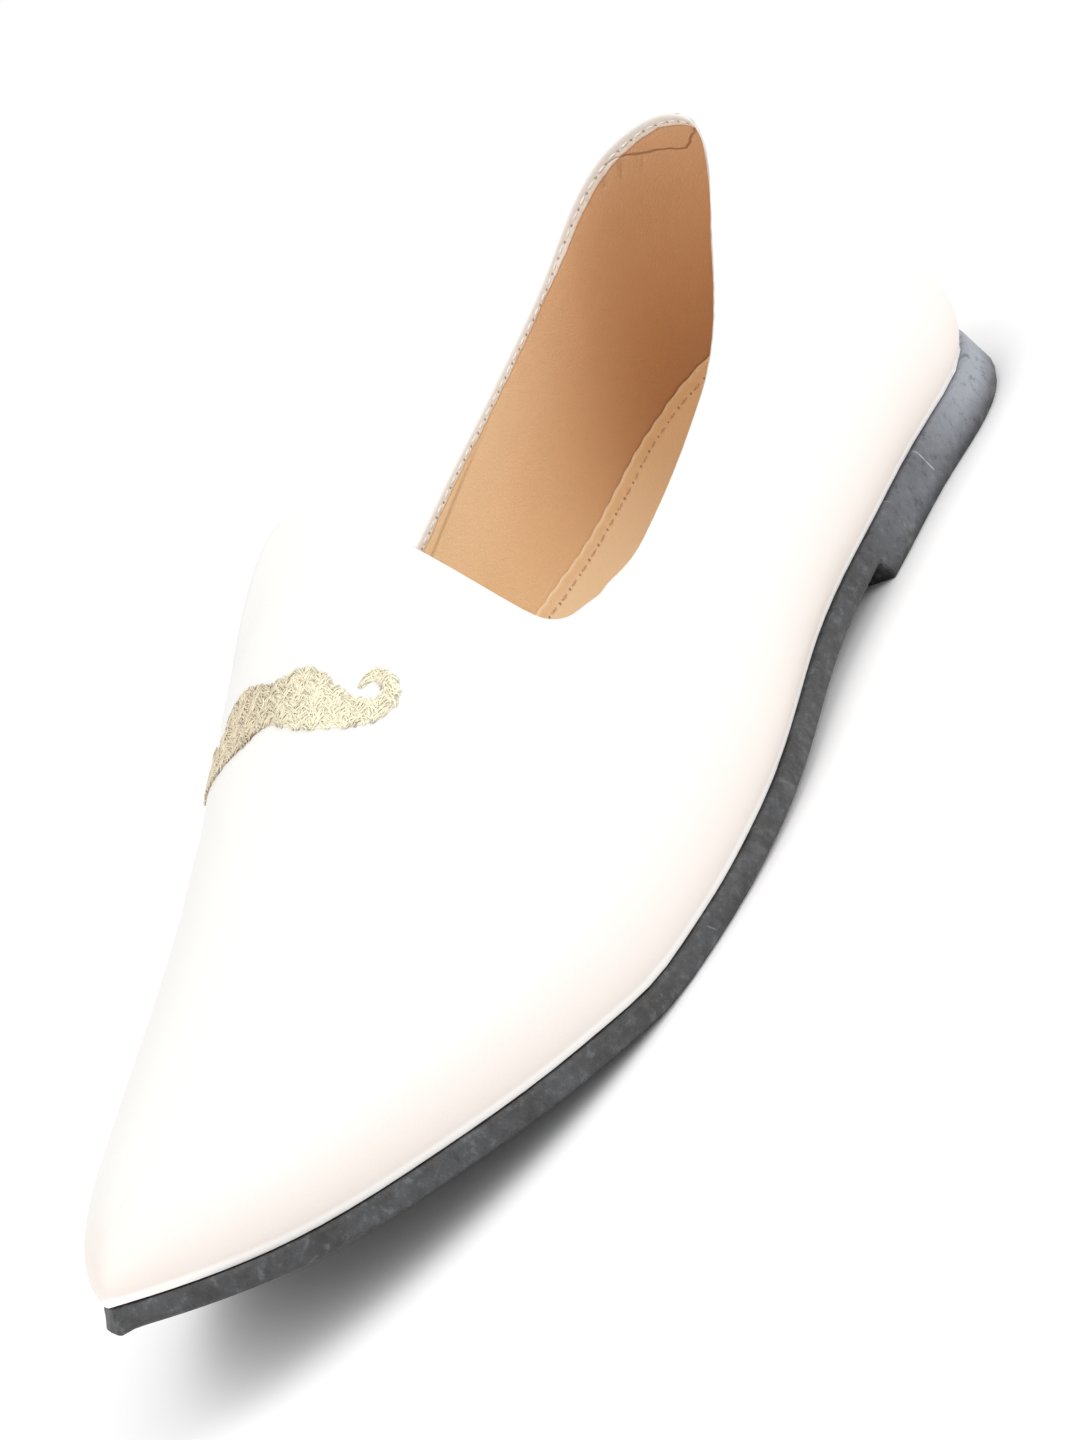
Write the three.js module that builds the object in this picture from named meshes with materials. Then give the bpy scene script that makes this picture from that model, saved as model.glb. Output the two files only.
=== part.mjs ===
// Mojari: a pointed slip-on shoe with a plain white leather upper, a low throat, a thin rubber sole
// with a low heel, and a gold embroidered motif across the vamp. Left shoe of a pair.
// Millimetres. +X points to the toe, +Y to the wearer's left (the outer side), +Z up.

import * as THREE from "three";

// Main sizes
const LENGTH = 287.7; // from the back of the heel to the tip, along the lower edge of the upper
const HEEL_WIDTH = 59.4; // width of the upper at the heel seat
const SEAT_HEIGHT = 10.2; // top of the sole above the floor at the heel
const SOLE_THICKNESS = 4.8; // sole under the ball of the foot and at the waist
const TOE_SPRING = 25.0; // how far the underside of the tip stands off the floor
const TIP_RISE = 8.6; // height of the upper at the very tip
const TIP_ASIDE = -1.0; // where the tip lies, to the side of the middle of the heel
const WALL = 1.8; // leather with its lining
const FIT = 0.3; // left between pieces that meet along a curve
const HEEL_LENGTH = 75.8; // heel block, measured along the middle
const INSOLE_THICKNESS = 2.6;
const MOTIF_RISE = 0.8; // thickness of the raised embroidery
const MOTIF_FIT = 0.42; // left under it, where the skin is drawn in flat facets

// Lower edge of the upper seen from above: half widths to the outer and the inner side
const OUTLINE = [
  { at: 0.24, outer: 32.0, inner: 30.6 },
  { at: 0.36, outer: 35.8, inner: 32.4 },
  { at: 0.48, outer: 44.3, inner: 40.6 },
  { at: 0.6, outer: 47.5, inner: 46.4 },
  { at: 0.7, outer: 45.6, inner: 44.9 },
  { at: 0.8, outer: 38.1, inner: 38.0 },
  { at: 0.89, outer: 25.9, inner: 27.6 },
  { at: 0.95, outer: 14.7, inner: 16.8 },
];

// Ridge of the last: its height above the floor and how far it lies from the middle of the outline
const RIDGE = [
  { at: 0.0, height: 112.5, aside: 0 },
  { at: 0.15, height: 110, aside: 0 },
  { at: 0.3, height: 102, aside: 0 },
  { at: 0.4, height: 89.5, aside: -6 },
  { at: 0.5, height: 81.6, aside: -12.6 },
  { at: 0.6, height: 63.2, aside: -11.4 },
  { at: 0.7, height: 52.6, aside: -6 },
  { at: 0.8, height: 45.6, aside: -3 },
  { at: 0.89, height: 41.2, aside: -1.5 },
];

// Sections: squareness of the superellipse and how far the side swells out over the lower edge
const SECTION = [
  { at: 0.0, square: 1.2, swell: 6.2 },
  { at: 0.1, square: 1.36, swell: 5.5 },
  { at: 0.25, square: 1.52, swell: 4.8 },
  { at: 0.42, square: 1.52, swell: 4.8 },
  { at: 0.56, square: 2.37, swell: 2.5 },
  { at: 0.75, square: 2.22, swell: 1.85 },
  { at: 0.9, square: 2.22, swell: 1.85 },
  { at: 1.0, square: 1.8, swell: 0.6 },
];

// Topline from the middle of the back to the low corner of the throat: heights on both sides
const TOPLINE = [
  { at: 0.0, outer: 76.2, inner: 76.2 },
  { at: 0.05, outer: 73.4, inner: 73.1 },
  { at: 0.13, outer: 65.8, inner: 66.0 },
  { at: 0.24, outer: 53.2, inner: 59.0 },
  { at: 0.36, outer: 46.2, inner: 52.8 },
  { at: 0.46, outer: 46.4, inner: 47.8 },
];

// Throat: the low corner, a point on the way up, and the middle over the instep
const CORNER = { at: 0.53, outer: 52.6, inner: 51.6 };
const FLANK = { outerAt: 0.514, innerAt: 0.508, angle: 68.3 };
const THROAT_AT = 0.496;

// Motif: where its middle lies along the shoe, and one lobe as a band, seen from the toe.
// Across is measured over the skin from the middle line, up runs toward the throat, width is the band's.
const MOTIF_AT = 0.604;
const MOTIF = [
  { across: 0, up: 2.75, width: 7.5 },
  { across: 4, up: 2.6, width: 9.4 },
  { across: 8, up: 2.0, width: 11.0 },
  { across: 12, up: 0.2, width: 9.4 },
  { across: 16, up: -1.3, width: 7.2 },
  { across: 19.8, up: -2.1, width: 5.6 },
  { across: 23.2, up: -2.0, width: 4.6 },
  { across: 25.9, up: -0.5, width: 3.8 },
  { across: 26.7, up: 2.2, width: 3.3 },
  { across: 25.2, up: 4.3, width: 2.7 },
  { across: 22.8, up: 4.7, width: 2.0 },
  { across: 21.2, up: 3.6, width: 1.4 },
  { across: 20.9, up: 2.6, width: 0.9 },
];

// Interpolation through the rows of a table

// Natural cubic spline
function flowing(xs, vs) {
  const n = xs.length;
  const m = new Array(n).fill(0);
  const c = new Array(n).fill(0);
  const d = new Array(n).fill(0);
  for (let i = 1; i < n - 1; i++) {
    const a = xs[i] - xs[i - 1];
    const b = xs[i + 1] - xs[i];
    const rhs = 6 * ((vs[i + 1] - vs[i]) / b - (vs[i] - vs[i - 1]) / a);
    const den = 2 * (a + b) - a * c[i - 1];
    c[i] = b / den;
    d[i] = (rhs - a * d[i - 1]) / den;
  }
  for (let i = n - 2; i > 0; i--) m[i] = d[i] - c[i] * m[i + 1];
  return (x) => {
    let i = 0;
    while (i < n - 2 && x > xs[i + 1]) i++;
    const h = xs[i + 1] - xs[i];
    const a = xs[i + 1] - x;
    const b = x - xs[i];
    return (m[i] * a ** 3 + m[i + 1] * b ** 3) / (6 * h)
      + (vs[i] / h - (m[i] * h) / 6) * a
      + (vs[i + 1] / h - (m[i + 1] * h) / 6) * b;
  };
}

// Monotone cubic: never swings past a row
function steady(xs, vs) {
  const n = xs.length;
  const h = [];
  const s = [];
  for (let i = 0; i < n - 1; i++) {
    h.push(xs[i + 1] - xs[i]);
    s.push((vs[i + 1] - vs[i]) / h[i]);
  }
  const edge = (h0, h1, s0, s1) => {
    const g = ((2 * h0 + h1) * s0 - h0 * s1) / (h0 + h1);
    if (g * s0 <= 0) return 0;
    if (s0 * s1 <= 0 && Math.abs(g) > 3 * Math.abs(s0)) return 3 * s0;
    return g;
  };
  const m = [];
  for (let i = 0; i < n; i++) {
    if (n === 2) m.push(s[0]);
    else if (i === 0) m.push(edge(h[0], h[1], s[0], s[1]));
    else if (i === n - 1) m.push(edge(h[n - 2], h[n - 3], s[n - 2], s[n - 3]));
    else if (s[i - 1] * s[i] <= 0) m.push(0);
    else {
      const a = 2 * h[i] + h[i - 1];
      const b = h[i] + 2 * h[i - 1];
      m.push((a + b) / (a / s[i - 1] + b / s[i]));
    }
  }
  return (x) => {
    const q = Math.min(Math.max(x, xs[0]), xs[n - 1]);
    let i = 0;
    while (i < n - 2 && q > xs[i + 1]) i++;
    const t = (q - xs[i]) / h[i];
    const p = 1 - t;
    return vs[i] * (1 + 2 * t) * p * p + vs[i + 1] * (3 - 2 * t) * t * t
      + h[i] * (m[i] * t * p * p - m[i + 1] * p * t * t);
  };
}

const column = (rows, name, scale = 1) => rows.map((row) => row[name] * scale);
const ramp = (x, from, to) => {
  const t = THREE.MathUtils.clamp((x - from) / (to - from), 0, 1);
  return t * t * (3 - 2 * t);
};

// The last

// Rows of the lower edge: the round of the heel, the table, and the tip
const half = HEEL_WIDTH / 2;
const round = [0, 25, 50, 72].map((degrees) => {
  const a = THREE.MathUtils.degToRad(degrees);
  return { x: half * 1.05 * (1 - Math.cos(a)), outer: half * Math.sin(a), inner: -half * Math.sin(a) };
});
const edgeRows = [
  ...round,
  { x: 0.15 * LENGTH, outer: half, inner: -half },
  ...OUTLINE.map((row) => ({ x: row.at * LENGTH, outer: row.outer, inner: -row.inner })),
  { x: 0.988 * LENGTH, outer: TIP_ASIDE + 5.5, inner: TIP_ASIDE - 5.0 },
  { x: LENGTH, outer: TIP_ASIDE, inner: TIP_ASIDE },
];
const walk = [0];
for (let i = 1; i < edgeRows.length; i++) {
  const a = edgeRows[i - 1];
  const b = edgeRows[i];
  const outer = Math.hypot(b.x - a.x, b.outer - a.outer);
  const inner = Math.hypot(b.x - a.x, b.inner - a.inner);
  walk.push(walk[i - 1] + (outer + inner) / 2);
}
const ROUND_LENGTH = walk[walk.length - 1];
const shares = walk.map((s) => s / ROUND_LENGTH);
const edgeX = flowing(shares, column(edgeRows, "x"));
const edgeOuter = flowing(shares, column(edgeRows, "outer"));
const edgeInner = flowing(shares, column(edgeRows, "inner"));

// Share of the way round at a distance from the heel
function shareAt(x) {
  let low = 0;
  let high = 1;
  for (let k = 0; k < 40; k++) {
    const mid = (low + high) / 2;
    if (edgeX(mid) < x) low = mid;
    else high = mid;
  }
  return (low + high) / 2;
}

// Height of the top of the sole along the shoe
const TIP_HEIGHT = TOE_SPRING + SOLE_THICKNESS;
const drop = SEAT_HEIGHT - SOLE_THICKNESS;
const climb = TIP_HEIGHT - SOLE_THICKNESS;
const BED = [
  { at: 0, z: SEAT_HEIGHT },
  { at: 0.15, z: SEAT_HEIGHT - 0.6 },
  { at: 0.28, z: SEAT_HEIGHT - 0.2 * drop },
  { at: 0.42, z: SEAT_HEIGHT - 0.62 * drop },
  { at: 0.54, z: SOLE_THICKNESS + 0.1 * drop },
  { at: 0.6, z: SOLE_THICKNESS },
  { at: 0.66, z: SOLE_THICKNESS },
  { at: 0.74, z: SOLE_THICKNESS + 0.13 * climb },
  { at: 0.84, z: SOLE_THICKNESS + 0.36 * climb },
  { at: 0.92, z: SOLE_THICKNESS + 0.585 * climb },
  { at: 1, z: TIP_HEIGHT },
];
const bed = steady(column(BED, "at", LENGTH), column(BED, "z"));

// Ridge line; toward the heel the sections fan out round the middle of the seat
const last = RIDGE[RIDGE.length - 1];
const ridgeRows = [
  ...RIDGE,
  { at: 0.955, height: 0.5 * (last.height + TIP_HEIGHT + TIP_RISE) + 0.1, aside: 0 },
  { at: 1, height: TIP_HEIGHT + TIP_RISE, aside: 0 },
];
const ridgeHeight = steady(column(ridgeRows, "at", LENGTH), column(ridgeRows, "height"));
const ridgeAside = steady(column(ridgeRows, "at", LENGTH), column(ridgeRows, "aside"));
const FAN = [
  { at: 0, to: 0.118 },
  { at: 0.12, to: 0.17 },
  { at: 0.25, to: 0.26 },
  { at: 0.9, to: 0.885 },
  { at: 1, to: 0.948 },
];
const ridgeX = steady(column(FAN, "at", LENGTH), column(FAN, "to", LENGTH));
const squareness = steady(column(SECTION, "at", LENGTH), column(SECTION, "square"));
const swelling = steady(column(SECTION, "at", LENGTH), column(SECTION, "swell"));

function lowerEdge(share, side) {
  const x = edgeX(share);
  return new THREE.Vector3(x, side > 0 ? edgeOuter(share) : edgeInner(share), bed(x));
}

// A point of the outside of the upper: share of the way round, angle up the section, side
function skin(share, angle, side) {
  const foot = lowerEdge(share, side);
  const x = foot.x;
  const mid = (edgeOuter(share) + edgeInner(share)) / 2 + ridgeAside(x);
  const n = squareness(x);
  const swellAt = THREE.MathUtils.lerp(17, 10, ramp(x / LENGTH, 0.42, 0.62));
  const phi = THREE.MathUtils.clamp(angle, 0, Math.PI / 2);
  const across = Math.max(Math.cos(phi), 0);
  const dx = x - ridgeX(x);
  const dy = foot.y - mid;
  const reach = Math.hypot(dx, dy) + 1e-9;
  const h = (ridgeHeight(x) - foot.z) * Math.sin(phi) ** (2 / n);
  const swell = swelling(x) * (h / swellAt) * Math.exp(1 - h / swellAt) * Math.sqrt(across);
  const r = reach * across ** (2 / n) + swell;
  const flat = across < 1e-6 ? 0 : r;
  return new THREE.Vector3(ridgeX(x) + (dx / reach) * flat, mid + (dy / reach) * flat, foot.z + h);
}

// Angle up the section at which the upper reaches a height
function angleAt(share, z) {
  const x = edgeX(share);
  const q = THREE.MathUtils.clamp((z - bed(x)) / (ridgeHeight(x) - bed(x)), 1e-6, 0.999);
  return Math.asin(q ** (squareness(x) / 2));
}

// Topline as one line right round: back, outer side, middle of the throat, inner side, back.
// Angles run from the outer lower edge over the ridge, so the inner side has angles past a right angle.
const rimRows = (name) => [...TOPLINE, CORNER].map((row) => {
  const x = row.at * LENGTH;
  return { x, angle: angleAt(shareAt(x), row[name]) };
});
const flankAngle = THREE.MathUtils.degToRad(FLANK.angle);
const outerRim = [...rimRows("outer"), { x: FLANK.outerAt * LENGTH, angle: flankAngle }];
const innerRim = [...rimRows("inner"), { x: FLANK.innerAt * LENGTH, angle: flankAngle }];
const rimLine = [
  ...outerRim,
  { x: THROAT_AT * LENGTH, angle: Math.PI / 2 },
  ...innerRim.map((row) => ({ x: row.x, angle: Math.PI - row.angle })).reverse(),
];
const rimWay = [0];
for (let i = 1; i < rimLine.length; i++) {
  const a = rimLine[i - 1];
  const b = rimLine[i];
  rimWay.push(rimWay[i - 1] + Math.hypot((b.x - a.x) / 40, b.angle - a.angle));
}
const rimX = flowing(rimWay, column(rimLine, "x"));
const rimAngle = flowing(rimWay, column(rimLine, "angle"));

// The half of it on one side: distance and angle at a share of the way to the low corner,
// or beyond the corner to the middle of the throat
function topline(side) {
  const n = rimWay.length;
  const at = (k) => rimWay[side > 0 ? k : n - 1 - k];
  const corner = TOPLINE.length;
  const read = (way) => {
    const a = rimAngle(way);
    return { x: Math.max(rimX(way), 0), angle: side > 0 ? a : Math.PI - a };
  };
  return {
    quarter: (t) => read(THREE.MathUtils.lerp(at(0), at(corner), t)),
    throat: (t) => read(THREE.MathUtils.lerp(at(corner), at(corner + 2), t)),
  };
}

// The net of the upper: columns run round the shoe, rows from the lower edge to the topline or ridge
const QUARTER = 26;
const THROAT = 36;
const COLUMNS = 62;
const ROWS = 14;
const HEIGHT_SCALE = 46; // length that stands for one radian of section

// Columns stand closer together near the low corner
const closer = (t, toward) => t + 0.09 * toward * Math.sin(Math.PI * t);

function net(side) {
  const line = topline(side);
  const rim = [];
  for (let i = 0; i <= COLUMNS; i++) {
    let x = 0;
    let angle = Math.PI / 2;
    if (i <= THROAT) {
      const p = i <= QUARTER
        ? line.quarter(closer(i / QUARTER, 1))
        : line.throat(closer((i - QUARTER) / (THROAT - QUARTER), -1));
      x = i === THROAT ? THROAT_AT * LENGTH : p.x;
      angle = i === THROAT ? Math.PI / 2 : Math.min(p.angle, Math.PI / 2);
      rim.push({ u: i === 0 ? 0 : shareAt(x), a: i === 0 ? rimLine[0].angle : angle });
    } else {
      const t = (i - THROAT) / (COLUMNS - THROAT);
      const start = shareAt(THROAT_AT * LENGTH);
      rim.push({ u: start + (1 - start) * (1 - (1 - t) ** 1.15), a: angle });
    }
  }
  const foot = steady(
    [0, QUARTER, THROAT, COLUMNS - 8, COLUMNS],
    [0, shareAt(0.5 * LENGTH), shareAt(0.6 * LENGTH), shareAt(0.925 * LENGTH), 1],
  );
  const X = [];
  const Y = [];
  for (let i = 0; i <= COLUMNS; i++) {
    X.push([]);
    Y.push([]);
    for (let j = 0; j <= ROWS; j++) {
      const v = (j / ROWS) ** 1.25;
      X[i].push(THREE.MathUtils.lerp(foot(i), rim[i].u, v) * ROUND_LENGTH);
      Y[i].push(rim[i].a * v * HEIGHT_SCALE);
    }
  }
  // Ease the inner crossings until the net lies evenly between its four borders
  const pull = (j) => {
    const a = ((j + 1) / ROWS) ** 1.25 - (j / ROWS) ** 1.25;
    const b = (j / ROWS) ** 1.25 - ((j - 1) / ROWS) ** 1.25;
    return (a - b) / (a + b);
  };
  for (let pass = 0; pass < 260; pass++) {
    for (let i = 1; i < COLUMNS; i++) {
      for (let j = 1; j < ROWS; j++) {
        const xi = (X[i + 1][j] - X[i - 1][j]) / 2;
        const yi = (Y[i + 1][j] - Y[i - 1][j]) / 2;
        const xj = (X[i][j + 1] - X[i][j - 1]) / 2;
        const yj = (Y[i][j + 1] - Y[i][j - 1]) / 2;
        const a = xj * xj + yj * yj;
        const b = xi * xj + yi * yj;
        const c = xi * xi + yi * yi;
        const skew = (F) => F[i + 1][j + 1] - F[i - 1][j + 1] - F[i + 1][j - 1] + F[i - 1][j - 1];
        const ease = (F, slope) => (a * (F[i + 1][j] + F[i - 1][j])
          + c * (F[i][j + 1] + F[i][j - 1] - 2 * pull(j) * slope) - (b / 2) * skew(F)) / (2 * (a + c));
        X[i][j] = ease(X, xj);
        Y[i][j] = ease(Y, yj);
      }
    }
  }
  return X.map((line2, i) => line2.map((x, j) => ({ u: x / ROUND_LENGTH, a: Y[i][j] / HEIGHT_SCALE })));
}

// Geometry from a list of triangles of points
function closed(points) {
  const flat = [];
  for (const p of points) flat.push(p.x, p.y, p.z);
  const g = new THREE.BufferGeometry();
  g.setAttribute("position", new THREE.Float32BufferAttribute(flat, 3));
  return g;
}

// Two triangles; a, b, c, d run anticlockwise seen from outside
function quad(list, a, b, c, d) {
  list.push(a, b, c, a, c, d);
}

const keyOf = (p) => [p.x, p.y, p.z].map((v) => Math.round(v * 500)).join(" ");

// Normals of the outside at the crossings of both nets
function normalsOf(grids) {
  const faces = [];
  for (const { grid, side } of grids) {
    for (let i = 0; i < grid.length - 1; i++) {
      for (let j = 0; j < grid[0].length - 1; j++) {
        const p = [grid[i][j], grid[i + 1][j], grid[i + 1][j + 1], grid[i][j + 1]];
        if (side > 0) p.reverse();
        quad(faces, ...p);
      }
    }
  }
  const sums = new Map();
  for (let k = 0; k < faces.length; k += 3) {
    const [a, b, c] = faces.slice(k, k + 3);
    const n = new THREE.Vector3().subVectors(b, a).cross(new THREE.Vector3().subVectors(c, a));
    for (const p of [a, b, c]) {
      const key = keyOf(p);
      if (!sums.has(key)) sums.set(key, new THREE.Vector3());
      sums.get(key).add(n);
    }
  }
  return (p) => sums.get(keyOf(p)).clone().normalize();
}

// Direction away from the shoe, level with the floor, at a share of the way round
function outward(share, side) {
  const s = THREE.MathUtils.clamp(share, 0.004, 0.996);
  const a = lowerEdge(s - 0.004, side);
  const b = lowerEdge(s + 0.004, side);
  const d = new THREE.Vector3(-(b.y - a.y), b.x - a.x, 0).multiplyScalar(side).normalize();
  if (share < 0.004) return new THREE.Vector3(-1, 0, 0);
  if (share > 0.996) return new THREE.Vector3(1, 0, 0);
  return d;
}

const nets = [1, -1].map((side) => ({ side, net: net(side) }));
const skins = nets.map(({ side, net: n }) => ({
  side,
  grid: n.map((line) => line.map((c) => skin(c.u, c.a, side))),
}));
const normalAt = normalsOf(skins);

// Upper: the skin, the same net a wall's thickness inside, the lower edge and a rounded rim
function upperShell() {
  const list = [];
  for (const { side, grid } of skins) {
    const put = (a, b, c, d) => (side > 0 ? quad(list, d, c, b, a) : quad(list, a, b, c, d));
    const inner = grid.map((line, i) => line.map((p, j) => {
      if (j === 0) {
        const n = outward(nets[0].net[i][0].u, side);
        return p.clone().addScaledVector(n, -WALL);
      }
      return p.clone().addScaledVector(normalAt(p), -WALL);
    }));
    for (let i = 0; i < COLUMNS; i++) {
      for (let j = 0; j < ROWS; j++) {
        put(grid[i][j], grid[i + 1][j], grid[i + 1][j + 1], grid[i][j + 1]);
        put(inner[i][j + 1], inner[i + 1][j + 1], inner[i + 1][j], inner[i][j]);
      }
      put(inner[i][0], inner[i + 1][0], grid[i + 1][0], grid[i][0]);
    }
    const crest = (i) => {
      const a = grid[i][ROWS];
      const b = inner[i][ROWS];
      const behind = i === THROAT ? grid[i + 1][ROWS] : grid[i][ROWS - 1];
      const up = new THREE.Vector3().subVectors(a, behind).normalize();
      return new THREE.Vector3().addVectors(a, b).multiplyScalar(0.5).addScaledVector(up, 0.3 * WALL);
    };
    for (let i = 0; i < THROAT; i++) {
      put(grid[i][ROWS], grid[i + 1][ROWS], crest(i + 1), crest(i));
      put(crest(i), crest(i + 1), inner[i + 1][ROWS], inner[i][ROWS]);
    }
  }
  return closed(list);
}

// A slab between two heights inside an outline that is moved out or in along its own normals.
// Levels go from the top down; each gives the outset and the height of a point.
function slab(stations, levels, outsetEnd = 0) {
  const rings = levels.map((level) => stations.map((share) => [1, -1].map((side) => {
    const p = lowerEdge(share, side);
    const n = outward(share, side);
    const out = level.out(p.x, share);
    p.addScaledVector(n, out);
    if (share > 0.995 && outsetEnd) p.x += outsetEnd;
    p.z = level.z(p.x);
    return p;
  })));
  const list = [];
  const top = rings[0];
  const under = rings[rings.length - 1];
  for (let i = 0; i < stations.length - 1; i++) {
    quad(list, top[i][0], top[i][1], top[i + 1][1], top[i + 1][0]);
    quad(list, under[i][0], under[i + 1][0], under[i + 1][1], under[i][1]);
    for (let k = 0; k < rings.length - 1; k++) {
      const a = rings[k];
      const b = rings[k + 1];
      quad(list, a[i][0], a[i + 1][0], b[i + 1][0], b[i][0]);
      quad(list, a[i][1], b[i][1], b[i + 1][1], a[i + 1][1]);
    }
  }
  return closed(list);
}

// Stations round the outline, closer at the heel and the tip
function stationsFor(count, from, to, extra = []) {
  const list = [];
  for (let i = 0; i <= count; i++) {
    const t = i / count;
    list.push(from + (to - from) * (t - 0.1 * Math.sin(2 * Math.PI * t)));
  }
  const near = (s) => extra.some((e) => Math.abs(e - s) < 0.006 && e !== s);
  return [...list.filter((s) => !near(s)), ...extra].sort((a, b) => a - b);
}

// Sole: flat on the floor under the ball and the heel, raised at the waist and toward the tip
const floorUnder = (x) => Math.max(bed(x) - SOLE_THICKNESS, 0);
const breast = shareAt(HEEL_LENGTH);
const breastEnd = shareAt(HEEL_LENGTH + 1.2);
const under = (x) => (x <= HEEL_LENGTH + 0.5 ? 0 : floorUnder(x));
const tip = (x) => ramp(x, 0.95 * LENGTH, LENGTH);
const flare = (x) => 0.5 + 1.3 * (1 - ramp(x, 0, 26)) + 0.3 * tip(x);
function outsoleBody() {
  const thick = (x) => bed(x) - FIT - under(x);
  const levels = [
    { out: (x) => 0.7 - 1.1 * tip(x), z: (x) => bed(x) - FIT },
    { out: (x) => 1.3 - 1.3 * tip(x), z: (x) => bed(x) - FIT - 0.6 },
    { out: (x) => 1.3 + flare(x), z: (x) => under(x) + 0.16 * thick(x) },
    { out: (x) => 0.6 + flare(x), z: (x) => under(x) },
  ];
  return slab(stationsFor(64, 0, 1, [breast, breastEnd]), levels);
}

// Insole: lies on the sole inside the upper
function insoleBody() {
  const inset = -(WALL + FIT + 0.1);
  const levels = [
    { out: () => inset - 0.7, z: (x) => bed(x) + INSOLE_THICKNESS },
    { out: () => inset, z: (x) => bed(x) + INSOLE_THICKNESS - 0.8 },
    { out: () => inset, z: (x) => bed(x) },
  ];
  return slab(stationsFor(44, 0, 1), levels);
}

// A point of the skin over the vamp: distance over the skin from the middle line, and up toward the throat
const RIDGE_PITCH = 0.88; // level distance for each millimetre along the ridge there
function overVamp(across, up) {
  const share = shareAt(MOTIF_AT * LENGTH - up * RIDGE_PITCH);
  const side = across >= 0 ? 1 : -1;
  const want = Math.abs(across);
  let way = 0;
  let from = skin(share, Math.PI / 2, side);
  for (let k = 1; k <= 90; k++) {
    const to = skin(share, (Math.PI / 2) * (1 - k / 90), side);
    const step = from.distanceTo(to);
    if (way + step >= want) return from.lerp(to, (want - way) / step);
    way += step;
    from = to;
  }
  return from;
}

// Motif: a padded band of stitches over the skin, both lobes in one
function motifBody() {
  const lobe = MOTIF.slice(1);
  const rows = [...lobe.map((row) => ({ ...row, across: -row.across })).reverse(), ...MOTIF];
  const way = [0];
  for (let i = 1; i < rows.length; i++) {
    const a = rows[i - 1];
    const b = rows[i];
    way.push(way[i - 1] + Math.hypot(b.across - a.across, b.up - a.up));
  }
  const across = flowing(way, column(rows, "across"));
  const up = flowing(way, column(rows, "up"));
  const width = steady(way, column(rows, "width"));
  const end = way[way.length - 1];
  const STEPS = 80;
  const LANES = 6;
  const tops = [];
  const unders = [];
  for (let i = 0; i <= STEPS; i++) {
    const w = (end * i) / STEPS;
    const d = 0.05;
    const along = new THREE.Vector2(across(w + d) - across(w - d), up(w + d) - up(w - d)).normalize();
    const top = [];
    const low = [];
    for (let j = 0; j <= LANES; j++) {
      const q = (2 * j) / LANES - 1;
      const a = across(w) - (along.y * q * width(w)) / 2;
      const b = up(w) + (along.x * q * width(w)) / 2;
      const p = overVamp(a, b);
      const overA = new THREE.Vector3().subVectors(overVamp(a + 0.6, b), overVamp(a - 0.6, b));
      const overB = new THREE.Vector3().subVectors(overVamp(a, b + 0.6), overVamp(a, b - 0.6));
      const n = overA.cross(overB).normalize();
      if (n.z < 0) n.negate();
      const rise = MOTIF_RISE * (1 - 0.5 * q ** 4);
      low.push(p.clone().addScaledVector(n, MOTIF_FIT));
      top.push(p.clone().addScaledVector(n, MOTIF_FIT + rise));
    }
    tops.push(top);
    unders.push(low);
  }
  const list = [];
  for (let i = 0; i < STEPS; i++) {
    for (let j = 0; j < LANES; j++) {
      quad(list, tops[i][j], tops[i + 1][j], tops[i + 1][j + 1], tops[i][j + 1]);
      quad(list, unders[i][j], unders[i][j + 1], unders[i + 1][j + 1], unders[i + 1][j]);
    }
    quad(list, tops[i][0], unders[i][0], unders[i + 1][0], tops[i + 1][0]);
    quad(list, tops[i][LANES], tops[i + 1][LANES], unders[i + 1][LANES], unders[i][LANES]);
  }
  for (let j = 0; j < LANES; j++) {
    quad(list, tops[0][j], tops[0][j + 1], unders[0][j + 1], unders[0][j]);
    quad(list, tops[STEPS][j], unders[STEPS][j], unders[STEPS][j + 1], tops[STEPS][j + 1]);
  }
  return closed(list);
}

const group = new THREE.Group();
group.name = "mojari";

function add(name, geometry, colour, roughness, metalness = 0) {
  const material = new THREE.MeshStandardMaterial({ color: colour, roughness, metalness });
  const mesh = new THREE.Mesh(geometry, material);
  mesh.name = name;
  group.add(mesh);
  return mesh;
}

add("outsole", outsoleBody(), "#55575c", 0.62);
add("insole", insoleBody(), "#c98d55", 0.6);
add("upper", upperShell(), "#f6f4f0", 0.5);
add("motif", motifBody(), "#d8c48c", 0.4, 0.35);

// Stand the shoe with the middle of its box over the origin and its sole on the floor
const box = new THREE.Box3().setFromObject(group);
const shift = new THREE.Vector3(-(box.min.x + box.max.x) / 2, -(box.min.y + box.max.y) / 2, -box.min.z);
for (const mesh of group.children) mesh.geometry.translate(shift.x, shift.y, shift.z);

export default group;
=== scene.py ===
# %% [markdown]
# # Mojari: a white leather slip-on
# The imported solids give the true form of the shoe: sole, insole, upper and the raised pad of the motif.
# This lesson dresses them, so that leather, lining, thread and rubber look like the real ones.
# The solids stay as they are. Where a surface needs more than a material, a copy of the solid is merged,
# smoothed and marked, and it replaces the solid in the picture.

import math

import bmesh
import bpy
import numpy as np
from mathutils import Matrix, Vector
from mathutils.bvhtree import BVHTree
from mathutils.kdtree import KDTree


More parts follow.
